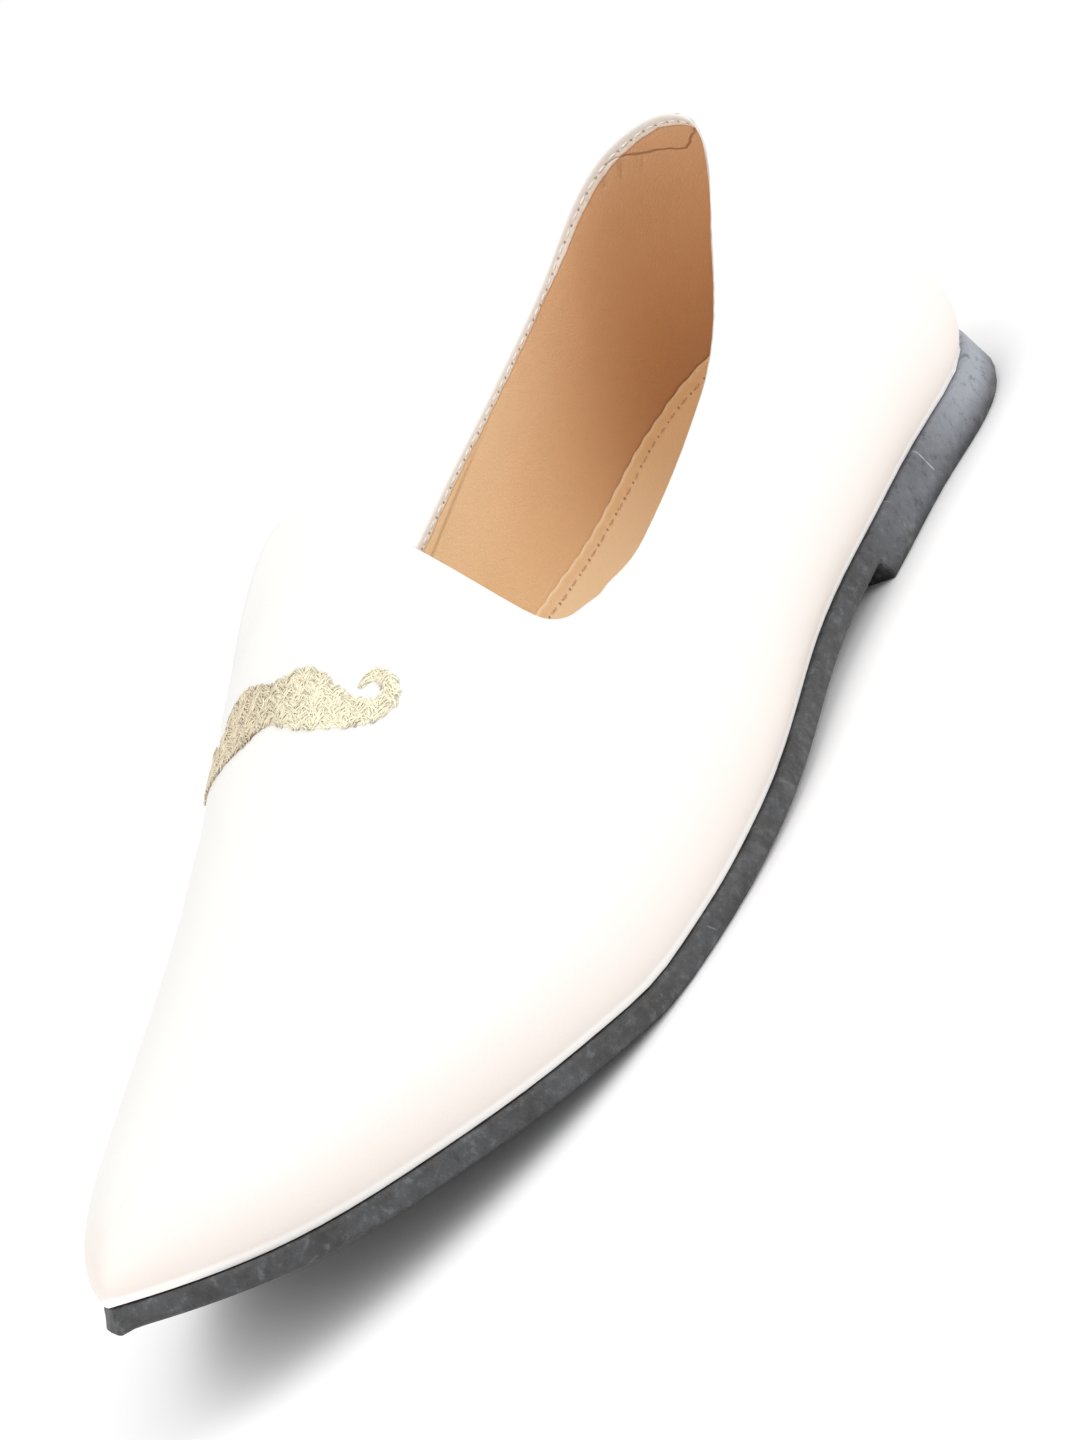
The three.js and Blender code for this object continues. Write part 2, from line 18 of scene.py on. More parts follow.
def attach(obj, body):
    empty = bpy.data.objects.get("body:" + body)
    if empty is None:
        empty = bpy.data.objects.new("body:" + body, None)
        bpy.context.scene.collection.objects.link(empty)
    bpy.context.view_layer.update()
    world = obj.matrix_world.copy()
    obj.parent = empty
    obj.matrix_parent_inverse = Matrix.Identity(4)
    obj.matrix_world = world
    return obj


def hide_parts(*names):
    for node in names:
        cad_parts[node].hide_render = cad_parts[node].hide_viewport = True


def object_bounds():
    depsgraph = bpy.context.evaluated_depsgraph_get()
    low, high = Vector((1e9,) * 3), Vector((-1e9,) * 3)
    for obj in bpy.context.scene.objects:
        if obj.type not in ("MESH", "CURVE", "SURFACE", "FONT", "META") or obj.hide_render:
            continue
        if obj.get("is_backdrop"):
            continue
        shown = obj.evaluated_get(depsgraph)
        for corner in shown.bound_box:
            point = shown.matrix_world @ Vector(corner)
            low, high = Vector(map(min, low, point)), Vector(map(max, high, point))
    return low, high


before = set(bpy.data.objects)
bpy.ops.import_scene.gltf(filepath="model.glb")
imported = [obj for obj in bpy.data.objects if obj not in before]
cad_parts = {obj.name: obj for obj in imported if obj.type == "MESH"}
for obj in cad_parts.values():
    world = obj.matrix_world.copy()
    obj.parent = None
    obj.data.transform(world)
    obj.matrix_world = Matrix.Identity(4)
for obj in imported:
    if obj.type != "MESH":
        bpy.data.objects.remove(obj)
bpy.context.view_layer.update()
MM = 0.001

# %% [markdown]
# ## The camera
# The picture was taken from above the outer side of the toe, with the camera rolled over, so that the
# shoe runs from the lower left to the upper right. The camera's own three axes are
# worked out from the azimuth, the height above the floor and the roll, and they fill its matrix.

# %% Camera
HEEL_AT = Vector((-143.07, -0.48, 0))  # middle of the back of the heel in the row frame, in mm
LOOK_AT = Vector((142.83, 8.99, 30.0)) + HEEL_AT
CAMERA_AZIMUTH = 44.473
CAMERA_HEIGHT = 20.283
CAMERA_ROLL = 37.172
CAMERA_DISTANCE = 1149.65
PIXELS_PER_MM = 5.846
PICTURE_HEIGHT = 1440
SENSOR = 36


def camera_axes():
    az, el, roll = (math.radians(v) for v in (CAMERA_AZIMUTH, CAMERA_HEIGHT, CAMERA_ROLL))
    back = Vector((math.sin(az) * math.cos(el), math.cos(az) * math.cos(el), math.sin(el)))
    right = (-back).cross(Vector((0, 0, 1))).normalized()
    up = right.cross(-back)
    across = right * math.cos(roll) - up * math.sin(roll)
    upward = right * math.sin(roll) + up * math.cos(roll)
    return across, upward, back


def make_camera():
    across, upward, back = camera_axes()
    data = bpy.data.cameras.new("camera")
    made = bpy.data.objects.new("camera", data)
    bpy.context.scene.collection.objects.link(made)
    data.sensor_fit = "VERTICAL"
    data.sensor_height = SENSOR
    data.sensor_width = SENSOR
    data.lens = SENSOR * PIXELS_PER_MM * CAMERA_DISTANCE / PICTURE_HEIGHT
    data.clip_start = 0.05
    data.clip_end = 20
    place = (LOOK_AT + back * CAMERA_DISTANCE) * MM
    made.matrix_world = Matrix((
        (across.x, upward.x, back.x, place.x),
        (across.y, upward.y, back.y, place.y),
        (across.z, upward.z, back.z, place.z),
        (0, 0, 0, 1),
    ))
    bpy.context.scene.camera = made
    return made


camera = make_camera()
print("lens", round(camera.data.lens, 1), "at", [round(v, 3) for v in camera.matrix_world.translation])

# %% [markdown]
# ## The bench
# A few helpers keep the later cells short: a clean selection, a merged copy of a solid, a modifier that
# is applied at once, a value kept at every point of a piece, and the last step that finishes a piece.

# %% Bench
RNG = np.random.default_rng(11)
WELD_WITHIN = 0.00002  # points nearer than this are one point
FLAT_WITHIN = math.radians(50)  # two triangles may bend and slant this much and still be joined
SQUARE_WITHIN = math.radians(80)


def nothing_selected():
    if bpy.context.object and bpy.context.object.mode != "OBJECT":
        bpy.ops.object.mode_set(mode="OBJECT")
    bpy.ops.object.select_all(action="DESELECT")


def work_on(piece):
    nothing_selected()
    piece.select_set(True)
    bpy.context.view_layer.objects.active = piece


def merged_copy(node, name):
    """A copy of a solid with its loose triangles joined and turned back into four-sided faces."""
    piece = bpy.data.objects.new(name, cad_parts[node].data.copy())
    bpy.context.scene.collection.objects.link(piece)
    piece.data.materials.clear()
    work_on(piece)
    bpy.ops.object.mode_set(mode="EDIT")
    bpy.ops.mesh.select_all(action="SELECT")
    bpy.ops.mesh.remove_doubles(threshold=WELD_WITHIN)
    bpy.ops.mesh.tris_convert_to_quads(face_threshold=FLAT_WITHIN, shape_threshold=SQUARE_WITHIN)
    bpy.ops.mesh.customdata_custom_splitnormals_clear()
    bpy.ops.object.mode_set(mode="OBJECT")
    print(name, len(piece.data.vertices), "points", len(piece.data.polygons), "faces")
    return piece


def modify(piece, kind, **settings):
    """Adds one modifier and applies it."""
    work_on(piece)
    m = piece.modifiers.new(kind.lower(), kind)
    for key, value in settings.items():
        setattr(m, key, value)
    bpy.ops.object.modifier_apply(modifier=m.name)


def smooth_by_angle(piece, degrees):
    work_on(piece)
    bpy.ops.object.shade_smooth_by_angle(angle=math.radians(degrees))


def mesh_piece(name, points, faces):
    mesh = bpy.data.meshes.new(name)
    mesh.from_pydata([tuple(p) for p in points], [], [tuple(f) for f in faces])
    mesh.update()
    piece = bpy.data.objects.new(name, mesh)
    bpy.context.scene.collection.objects.link(piece)
    return piece


def mark(piece, name, values):
    """A value at every point of a piece, for its material to read."""
    a = piece.data.attributes.new(name, "FLOAT", "POINT")
    a.data.foreach_set("value", np.asarray(values, np.float32))


def points_of(piece):
    co = np.zeros(len(piece.data.vertices) * 3)
    piece.data.vertices.foreach_get("co", co)
    return co.reshape(-1, 3)


def ramp(x, low, high):
    """Rises softly from 0 at low to 1 at high."""
    t = np.clip((np.asarray(x, float) - low) / (high - low), 0, 1)
    return t * t * (3 - 2 * t)


def finished(piece, node_slot, *stands_for):
    """Every finished piece rides on the shoe's one body; node_slot is not used."""
    if stands_for:
        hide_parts(*stands_for)
    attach(piece, "root")


# %% [markdown]
# ## The upper: two skins and a rim
# A real upper is white leather outside and a tan lining inside, with the leather folded over the edge.
# The solid is one shell, so its faces are sorted: a ray from inside the heel finds one lining face, a ray
# from outside finds one leather face, and each skin then spreads over its neighbours, up to the sharp
# edges of the rim and of the underside. What is left over between them is the rim.

# %% Sort the faces of the upper
HEEL_MIDDLE = Vector((-0.09, 0, 0.03))
OUTSIDE = Vector((0, 0.2, 0))
SHARP = math.radians(42)
UNDER_TILT = -0.6  # the underside looks down at least this steeply
UNDER_TOP = 0.035  # and lies below this height


def spread(start):
    """The faces that hang together with the first one across soft edges."""
    found = {start}
    queue = [start]
    while queue:
        face = queue.pop()
        for edge in face.edges:
            if len(edge.link_faces) != 2 or edge.calc_face_angle(0) > SHARP:
                continue
            for other in edge.link_faces:
                if other not in found:
                    found.add(other)
                    queue.append(other)
    return found


upper = merged_copy("upper", "upper_leather")
bm = bmesh.new()
bm.from_mesh(upper.data)
bm.faces.ensure_lookup_table()
shell = BVHTree.FromBMesh(bm)
lining_faces = spread(bm.faces[shell.ray_cast(HEEL_MIDDLE, Vector((0, 1, 0)))[2]])
leather_faces = spread(bm.faces[shell.ray_cast(HEEL_MIDDLE + OUTSIDE, Vector((0, -1, 0)))[2]])
edge_faces = [f for f in bm.faces if f not in lining_faces and f not in leather_faces]
under_faces = {f for f in edge_faces if f.normal.z < UNDER_TILT and f.calc_center_median().z < UNDER_TOP}
rim_faces = {f for f in edge_faces if f not in under_faces}
for f in bm.faces:
    f.material_index = 1 if f in lining_faces else 0
crest = [v for v in bm.verts if v.link_faces and all(f in rim_faces for f in v.link_faces)]
print("leather", len(leather_faces), "lining", len(lining_faces), "faces")
print("rim", len(rim_faces), "underside", len(under_faces), "faces")
print("points along the crest of the rim:", len(crest))

# %% Walk round the crest
crest_set = set(crest)
walk = [max(crest, key=lambda v: v.co.z)]
while True:
    ways = [e.other_vert(walk[-1]) for e in walk[-1].link_edges]
    ways = [v for v in ways if v in crest_set and v not in walk]
    if not ways:
        break
    walk.append(ways[0])
RIM = np.array([v.co[:] for v in walk])
crease = bm.edges.layers.float.new("crease_edge")
for f in under_faces:
    for e in f.edges:
        e[crease] = 1.0
bm.to_mesh(upper.data)
bm.free()
rim_length = np.linalg.norm(np.roll(RIM, -1, 0) - RIM, axis=1).sum()
print("the rim is", round(rim_length / MM), "mm round, in", len(RIM), "steps")

# %% [markdown]
# ## Smooth skins
# Two levels of subdivision turn the facets of the shell into one flowing surface, and the creased edges
# hold the line where the upper meets the sole. Then the few soft troughs that leather takes where it
# bends are pressed in one by one: each is a line in the shoe's own millimetres with a depth and a width.

# %% Subdivide and press the troughs
TROUGHS = [
    # from, to (x, y in mm), depth and half width in mm, and the height it stays above
    ((34, 36), (52, 12), 0.30, 3.4, 20),
    ((44, 41), (60, 18), 0.24, 3.0, 18),
    ((36, -38), (54, -14), 0.26, 3.4, 20),
    ((6, 44), (14, 30), 0.32, 3.0, 30),
    ((-6, 41), (0, 28), 0.22, 2.6, 34),
    ((8, -42), (16, -28), 0.26, 3.0, 30),
    ((-96, 33), (-104, 20), 0.28, 4.0, 36),
    ((-110, 30), (-118, 14), 0.22, 3.4, 44),
    ((-96, -33), (-106, -18), 0.24, 4.0, 40),
    ((118, 15), (122, -15), 0.10, 3.0, 30),
]
LIP_SHARE = 0.35  # a trough has a low lip on both sides
LIP_AT = 1.9  # in half widths from its middle
FADE_HEIGHT = 8  # mm over which a trough comes in above its lowest height


def press(piece, troughs):
    """Moves the points of both skins inwards along each trough, and out again on its lips."""
    co = points_of(piece)
    n = len(piece.data.vertices)
    normals = np.zeros(n * 3)
    piece.data.vertices.foreach_get("normal", normals)
    normals = normals.reshape(-1, 3)
    leather = np.zeros(n, bool)
    for poly in piece.data.polygons:
        if poly.material_index == 0:
            leather[list(poly.vertices)] = True
    outward = np.where(leather[:, None], normals, -normals)
    moved = np.zeros(n)
    for a, b, depth, half, above in troughs:
        a, b = np.array(a) * MM, np.array(b) * MM
        along = np.clip(((co[:, :2] - a) @ (b - a)) / ((b - a) @ (b - a)), 0, 1)
        gap = np.linalg.norm(co[:, :2] - (a + along[:, None] * (b - a)), axis=1) / MM
        fade = np.sin(np.pi * np.clip(along, 0.02, 0.98)) ** 0.6
        lip = LIP_SHARE * np.exp(-(((gap - LIP_AT * half) / half) ** 2))
        shape = lip - np.exp(-((gap / half) ** 2))
        moved += depth * fade * shape * ramp(co[:, 2] / MM, above, above + FADE_HEIGHT)
    co = co + outward * (moved * MM)[:, None]
    piece.data.vertices.foreach_set("co", co.ravel())
    piece.data.update()
    print("pressed", len(troughs), "troughs, deepest", round(-moved.min(), 2), "mm")


modify(upper, "SUBSURF", levels=2, render_levels=2)
press(upper, TROUGHS)

# %% Ease the toe, where the facets run together
TOE_FROM = 0.112
TOE_ABOVE = 0.030
TOE_TIP_FROM = 0.12
TOE_TIP_RISE = 0.25  # the lower limit rises toward the tip, where the sole rises too
TOE_PASSES = 12

work_on(upper)
bpy.ops.object.mode_set(mode="EDIT")
bpy.ops.mesh.select_all(action="DESELECT")
easing = bmesh.from_edit_mesh(upper.data)
for v in easing.verts:
    lowest = TOE_ABOVE + TOE_TIP_RISE * max(v.co.x - TOE_TIP_FROM, 0)
    v.select = v.co.x > TOE_FROM and v.co.z > lowest
easing.select_flush(True)
bpy.ops.mesh.vertices_smooth(factor=0.5, repeat=TOE_PASSES)
bpy.ops.object.mode_set(mode="OBJECT")

# %% [markdown]
# ## Two search trees
# Stitches, strips and threads lie on the skins. A search tree for each skin answers where the nearest
# point is and which way the surface faces there.

# %% Search trees
BELOW_CREST = Vector((0, 0, 0.001))
UP_THE_WALL = 0.004


def tree_of(piece, slot_number=None):
    co = [Vector(p) for p in points_of(piece)]
    faces = [tuple(p.vertices) for p in piece.data.polygons
             if slot_number is None or p.material_index == slot_number]
    return BVHTree.FromPolygons(co, faces)


LEATHER = tree_of(upper, 0)
LINING = tree_of(upper, 1)


def round_path(points, step, closed=True):
    """Even steps along a line of points."""
    p = np.asarray(points)
    q = np.vstack([p, p[:1]]) if closed else p
    way = np.concatenate([[0], np.cumsum(np.linalg.norm(np.diff(q, axis=0), axis=1))])
    count = max(int(way[-1] / step), 2)
    at = np.linspace(0, way[-1], count, endpoint=not closed)
    return np.stack([np.interp(at, way, q[:, k]) for k in range(3)], 1)


def rim_frames(step):
    """Along the rim: a point on the crest, the way along it, and the way up the wall."""
    path = round_path(RIM, step)
    frames = []
    for i, p in enumerate(path):
        along = Vector(path[(i + 1) % len(path)] - path[i - 1]).normalized()
        normal = LEATHER.find_nearest(Vector(p) - BELOW_CREST)[1]
        up = along.cross(normal).normalized()
        gap = [LINING.find_nearest(Vector(p) + up * s * UP_THE_WALL)[3] for s in (-1, 1)]
        if gap[0] > gap[1]:
            up = -up
        frames.append((Vector(p), along, up))
    return frames


print("search trees over", len(upper.data.polygons), "faces")

# %% [markdown]
# ## Marks for the materials
# Colour follows the making and painted light and shade: the white fold shows on the lining side as a narrow
# band under the rim, and the leather takes a painted warm shade above the sole. Each such line starts as a
# distance in millimetres, kept at every point of the upper.

# %% Distances
FOLD_WIDTH = 2.2
FOLD_WIDER = 1.1  # more of it at the back, where the edge turns over the heel
HEEL_BEND = (92, 116)  # mm behind the middle of the shoe, where the sides turn into the back
CREST_LINE_SIDE = (-2, 6)  # the dark edge line is on the outer side of this, in mm
CREST_LINE_FRONT = (-8, 0)  # or in front of this
NO_CREST_LINE = 3  # added to the distance where the edge has no line


def distances_to(points, targets):
    """How far, in mm, every point lies from the nearest of the targets."""
    near = KDTree(len(targets))
    for i, p in enumerate(targets):
        near.insert(p, i)
    near.balance()
    return np.array([near.find(Vector(p))[2] for p in points]) / MM


co = points_of(upper)
below = distances_to(co, round_path(RIM, 0.0005))
heel_round = ramp(-co[:, 0] / MM, *HEEL_BEND)
mark(upper, "below_rim", below)
mark(upper, "fold", below - FOLD_WIDTH - FOLD_WIDER * heel_round)
crest_line_shown = np.clip(ramp(co[:, 1] / MM, *CREST_LINE_SIDE) + ramp(co[:, 0] / MM, *CREST_LINE_FRONT), 0, 1)
mark(upper, "edge_line", below + NO_CREST_LINE * (1 - crest_line_shown))
sole_probe = merged_copy("outsole", "sole_probe")
sole_top = tree_of(sole_probe)
bpy.data.meshes.remove(sole_probe.data)
mark(upper, "above_sole", [sole_top.find_nearest(Vector(p))[3] / MM for p in co])

# %% The pieced tab at the back of the lining
TAB_TIP = 66.2  # height of the tab's lower edge at the middle, in mm
TAB_SLOPE = 0.62  # how it rises to both sides
TAB_CURVE = 0.009  # how the rise slackens
MIDDLE_OF_BACK = -0.5
PUCKERS = [[(-119.7, 11.9, 72.1), (-118.6, 13.2, 68.4)], [(-122.2, 9.4, 71.4), (-121.2, 11.2, 66.8)],
           [(-124.2, 6.8, 69.9), (-123.6, 8.8, 64.8)], [(-113.8, 15.6, 70.4), (-115.0, 15.4, 65.6)]]


def both_sides(line):
    return [line, [(x, 2 * MIDDLE_OF_BACK - y, z) for x, y, z in line]]


def line_points(lines, step=0.0004):
    found = []
    for line in lines:
        found += list(round_path(np.array(line) * MM, step, closed=False))
    return found


from_middle = np.abs(co[:, 1] / MM - MIDDLE_OF_BACK)
tab_height = TAB_TIP + TAB_SLOPE * from_middle - TAB_CURVE * from_middle ** 2
mark(upper, "tab_line", co[:, 2] / MM - tab_height)
pucker_lines = sum([both_sides(p) for p in PUCKERS], [])
mark(upper, "pucker_line", distances_to(co, line_points(pucker_lines)))
print("marked", len(co), "points of the upper")

# %% [markdown]
# ## Node tools and shared effects
# A small function adds a node with its values and links in one line. With it the effects that several
# materials share are built once as groups: grain, slow variation of colour, and dust that lies low.

# %% Node tools
def add(tree, kind, values=None, **settings):
    n = tree.nodes.new(kind)
    for key, value in settings.items():
        setattr(n, key, value)
    for key, value in (values or {}).items():
        socket = n.inputs[key]
        if isinstance(value, bpy.types.NodeSocket):
            tree.links.new(value, socket)
        else:
            socket.default_value = value
    return n


def calc(tree, operation, a, b=0.5, c=None):
    values = {0: a, 1: b} if c is None else {0: a, 1: b, 2: c}
    return add(tree, "ShaderNodeMath", values, operation=operation).outputs[0]


def blend(tree, factor, a, b):
    n = add(tree, "ShaderNodeMix", data_type="RGBA")
    for key, value in ((0, factor), (6, a), (7, b)):
        if isinstance(value, bpy.types.NodeSocket):
            tree.links.new(value, n.inputs[key])
        else:
            n.inputs[key].default_value = value
    return n.outputs[2]


def span(tree, value, low, high, to_low=0.0, to_high=1.0):
    """Goes softly from one value to another while the input goes from low to high."""
    n = add(tree, "ShaderNodeMapRange", {"Value": value, "From Min": low, "From Max": high,
                                          "To Min": to_low, "To Max": to_high},
            interpolation_type="SMOOTHSTEP")
    return n.outputs["Result"]


def within(tree, distance, inner, outer):
    """A line: 1 nearer than the inner distance on either side, 0 past the outer one."""
    return span(tree, calc(tree, "ABSOLUTE", distance), inner, outer, 1.0, 0.0)


def attribute(tree, name):
    return add(tree, "ShaderNodeAttribute", attribute_name=name).outputs["Fac"]


def speckle(tree, place, scale, detail=2.0, rough=0.5):
    return add(tree, "ShaderNodeTexNoise",
               {"Vector": place, "Scale": scale, "Detail": detail, "Roughness": rough}).outputs["Fac"]


def bands(tree, place, scale, distortion, detail):
    return add(tree, "ShaderNodeTexWave",
               {"Vector": place, "Scale": scale, "Distortion": distortion, "Detail": detail},
               bands_direction="DIAGONAL").outputs["Fac"]


def axis(tree, vector, letter):
    return add(tree, "ShaderNodeSeparateXYZ", {0: vector}).outputs[letter]


def shader_group(name, inputs, outputs):
    g = bpy.data.node_groups.new(name, "ShaderNodeTree")
    for title, kind, value in inputs:
        s = g.interface.new_socket(title, in_out="INPUT", socket_type=kind)
        s.default_value = value
    for title, kind in outputs:
        g.interface.new_socket(title, in_out="OUTPUT", socket_type=kind)
    return g, g.nodes.new("NodeGroupInput"), g.nodes.new("NodeGroupOutput")


def use(tree, group, **values):
    n = tree.nodes.new("ShaderNodeGroup")
    n.node_tree = group
    for key, value in values.items():
        socket = n.inputs[key.replace("_", " ")]
        if isinstance(value, bpy.types.NodeSocket):
            tree.links.new(value, socket)
        else:
            socket.default_value = value
    return n


# %% [markdown]
# ### Grain
# Leather grain is a net of fine cells over slow swells of the hide. Distances to cell borders give the
# net, and noise breaks it up. The height goes to a bump node in each material.

# %% Grain group
GRAIN, gi, go = shader_group(
    "grain",
    [("Place", "NodeSocketVector", (0, 0, 0)), ("Cells per metre", "NodeSocketFloat", 1400.0),
     ("Swell", "NodeSocketFloat", 0.4)],
    [("Height", "NodeSocketFloat")])
noise = add(GRAIN, "ShaderNodeTexNoise", {"Vector": gi.outputs["Place"], "Scale": 260.0, "Detail": 3.0})
bent = add(GRAIN, "ShaderNodeVectorMath",
           {0: noise.outputs["Color"], 1: (0.0012, 0.0012, 0.0012)}, operation="MULTIPLY")
spot = add(GRAIN, "ShaderNodeVectorMath", {0: gi.outputs["Place"], 1: bent.outputs[0]}, operation="ADD")
cells = add(GRAIN, "ShaderNodeTexVoronoi",
            {"Vector": spot.outputs[0], "Scale": gi.outputs["Cells per metre"]},
            feature="DISTANCE_TO_EDGE")
net = span(GRAIN, cells.outputs["Distance"], 0.0, 0.16)
swell = calc(GRAIN, "MULTIPLY", speckle(GRAIN, gi.outputs["Place"], 34.0), gi.outputs["Swell"])
GRAIN.links.new(calc(GRAIN, "MULTIPLY_ADD", net, 0.35, swell), go.inputs["Height"])

# %% [markdown]
# ### Dust and slow variation
# Nothing made by hand has one even colour. One group gives a slow mask for shades of the same hide or
# rubber, and a second mask for dust, which gathers low down and thins out upwards.

# %% Variation group
VARIATION, gi, go = shader_group(
    "variation",
    [("Place", "NodeSocketVector", (0, 0, 0)), ("Scale", "NodeSocketFloat", 30.0),
     ("Dust height", "NodeSocketFloat", 0.012)],
    [("Shade", "NodeSocketFloat"), ("Dust", "NodeSocketFloat")])
slow = speckle(VARIATION, gi.outputs["Place"], gi.outputs["Scale"], 5.0, 0.6)
VARIATION.links.new(span(VARIATION, slow, 0.32, 0.7), go.inputs["Shade"])
height = axis(VARIATION, gi.outputs["Place"], "Z")
low = span(VARIATION, calc(VARIATION, "DIVIDE", height, gi.outputs["Dust height"]), 0.0, 1.0, 1.0, 0.0)
specks = speckle(VARIATION, gi.outputs["Place"], 420.0, 4.0)
dust = calc(VARIATION, "MULTIPLY", low, span(VARIATION, specks, 0.45, 0.72))
VARIATION.links.new(dust, go.inputs["Dust"])
print("groups:", GRAIN.name, VARIATION.name)


# %% Start of a material
def material(name, rough, **shader_values):
    m = bpy.data.materials.new(name)
    m.use_nodes = True
    tree = m.node_tree
    shader = tree.nodes["Principled BSDF"]
    shader.inputs["Roughness"].default_value = rough
    for key, value in shader_values.items():
        shader.inputs[key.replace("_", " ")].default_value = value
    place = add(tree, "ShaderNodeTexCoord").outputs["Object"]
    print("material", name)
    return m, tree, shader, place


def relief(tree, shader, height, strength, distance):
    bump = add(tree, "ShaderNodeBump", {"Height": height, "Strength": strength, "Distance": distance})
    tree.links.new(bump.outputs["Normal"], shader.inputs["Normal"])


# %% [markdown]
# ### White leather
# The upper is a smooth full-grain leather, finished white with a little gloss. Above the sole it takes
# a painted warm shade, with a painted light line at its lower edge, as in the picture. The fine grain only
# shows where light grazes it.

# %% White leather
WHITE = (0.775, 0.764, 0.735, 1)
WHITE_WARM_TONE_AND_SHADE = (0.735, 0.655, 0.61, 1)
WHITE_PAINTED_LIGHT = (0.93, 0.91, 0.88, 1)
WHITE_DUSTY = (0.62, 0.58, 0.53, 1)
CREST_LINE_DARK = (0.26, 0.19, 0.14, 1)
WARM_SHADE_BAND = (2.0, 22.0)  # mm above the sole
LIGHT_EDGE_BAND = (1.2, 2.2)
DUST_BAND = (0.0, 3.0)
CREST_LINE_BAND = (0.12, 0.42)  # mm from the crest of the rim

white_leather, tree, shader, place = material("white_leather", 0.46, Coat_Weight=0.12, Coat_Roughness=0.35)
grain = use(tree, GRAIN, Place=place, Cells_per_metre=1500.0, Swell=0.5)
vary = use(tree, VARIATION, Place=place, Scale=22.0, Dust_height=0.02)
above = attribute(tree, "above_sole")
# painted shade: the leather turns warmer and darker toward the sole
colour = blend(tree, span(tree, above, *WARM_SHADE_BAND, 0.85, 0.0), WHITE, WHITE_WARM_TONE_AND_SHADE)
colour = blend(tree, calc(tree, "MULTIPLY", vary.outputs["Shade"], 0.06), colour, WHITE_WARM_TONE_AND_SHADE)
soil = calc(tree, "MULTIPLY", vary.outputs["Dust"], span(tree, above, *DUST_BAND, 0.08, 0.0))
colour = blend(tree, soil, colour, WHITE_DUSTY)
# painted light: a lighter band just above the sole
colour = blend(tree, span(tree, above, *LIGHT_EDGE_BAND, 0.85, 0.0), colour, WHITE_PAINTED_LIGHT)
# a thin dark line along the crest of the rim, on the outer side and the front
colour = blend(tree, span(tree, attribute(tree, "edge_line"), *CREST_LINE_BAND, 0.7, 0.0), colour, CREST_LINE_DARK)
tree.links.new(colour, shader.inputs["Base Color"])
tree.links.new(span(tree, vary.outputs["Shade"], 0.0, 1.0, 0.42, 0.52), shader.inputs["Roughness"])
relief(tree, shader, grain.outputs["Height"], 0.22, 0.00012)

# %% [markdown]
# ### Tan lining
# The lining is thin tan leather with a matte flesh finish, unevenly toned, with painted shade toward the
# heel and a painted shadow low in the heel cup. A band of the white leather, painted lighter than the
# upper, is folded over it under the rim with a painted shadow line at its edge, the edge of a facing shows
# as a line below that with a painted shadow beside it, and a pieced tab with a few puckers covers the back,
# the puckers darkened by painted shade. Each of them makes a small step in the relief too.

# %% Tan lining
FACING_WIDTH = 7.4  # at the middle of the shoe; it tapers toward the heel
FACING_TAPER = 72.0
TAN = (0.935, 0.715, 0.47, 1)
TAN_DARK_AND_SHADE = (0.68, 0.40, 0.22, 1)
TAN_SHADOW = (0.40, 0.19, 0.09, 1)
TAN_SEAM_AND_SHADOW = (0.30, 0.14, 0.07, 1)
# from and to, in metres, along the shoe or in height
HEEL_SHADE_SPAN = (-0.12, -0.04)
CUP_SHADOW_BACK = (-0.125, -0.072)
CUP_SHADOW_BELOW = (0.020, 0.056)
THROAT_PART = (-0.072, -0.050)
BACK_PART = (-0.114, -0.108)

tan_lining, tree, shader, place = material("tan_lining", 0.6)
grain = use(tree, GRAIN, Place=place, Cells_per_metre=1100.0, Swell=1.2)
vary = use(tree, VARIATION, Place=place, Scale=16.0, Dust_height=0.001)
along = axis(tree, place, "X")
# painted shade: the lining darkens toward the heel
heel_shade = span(tree, along, *HEEL_SHADE_SPAN, 1.0, 0.0)
# painted shadow: a darker patch low in the back of the heel cup
heel_cup_shadow = calc(tree, "MULTIPLY", span(tree, axis(tree, place, "Z"), *CUP_SHADOW_BELOW, 0.55, 0.0),
            span(tree, along, *CUP_SHADOW_BACK, 1.0, 0.0))
colour = blend(tree, calc(tree, "MULTIPLY", vary.outputs["Shade"], 0.22), TAN, TAN_DARK_AND_SHADE)
colour = blend(tree, calc(tree, "MULTIPLY", heel_shade, 0.8), colour, TAN_DARK_AND_SHADE)
colour = blend(tree, heel_cup_shadow, colour, TAN_SHADOW)

facing_edge = calc(tree, "MULTIPLY_ADD", along, FACING_TAPER, FACING_WIDTH)
over_facing = calc(tree, "SUBTRACT", attribute(tree, "below_rim"), facing_edge)
near_throat = span(tree, along, *THROAT_PART)
facing = calc(tree, "MULTIPLY", within(tree, over_facing, 0.0, 0.8), near_throat)
# painted shadow: a soft dark line beside the facing's edge, next to its relief step
colour = blend(tree, calc(tree, "MULTIPLY", facing, 0.26), colour, TAN_SEAM_AND_SHADOW)

wave = calc(tree, "SUBTRACT", speckle(tree, place, 210.0, 1.0), 0.5)
over_tab = calc(tree, "MULTIPLY_ADD", wave, 2.4, attribute(tree, "tab_line"))
at_back = span(tree, along, *BACK_PART, 1.0, 0.0)
tab = calc(tree, "MULTIPLY", within(tree, over_tab, 0.05, 0.55), at_back)
colour = blend(tree, calc(tree, "MULTIPLY", tab, 0.5), colour, TAN_SEAM_AND_SHADOW)
pucker = within(tree, attribute(tree, "pucker_line"), 0.0, 1.3)
# painted shade in the creases of the puckers
colour = blend(tree, calc(tree, "MULTIPLY", pucker, 0.22), colour, TAN_SEAM_AND_SHADOW)

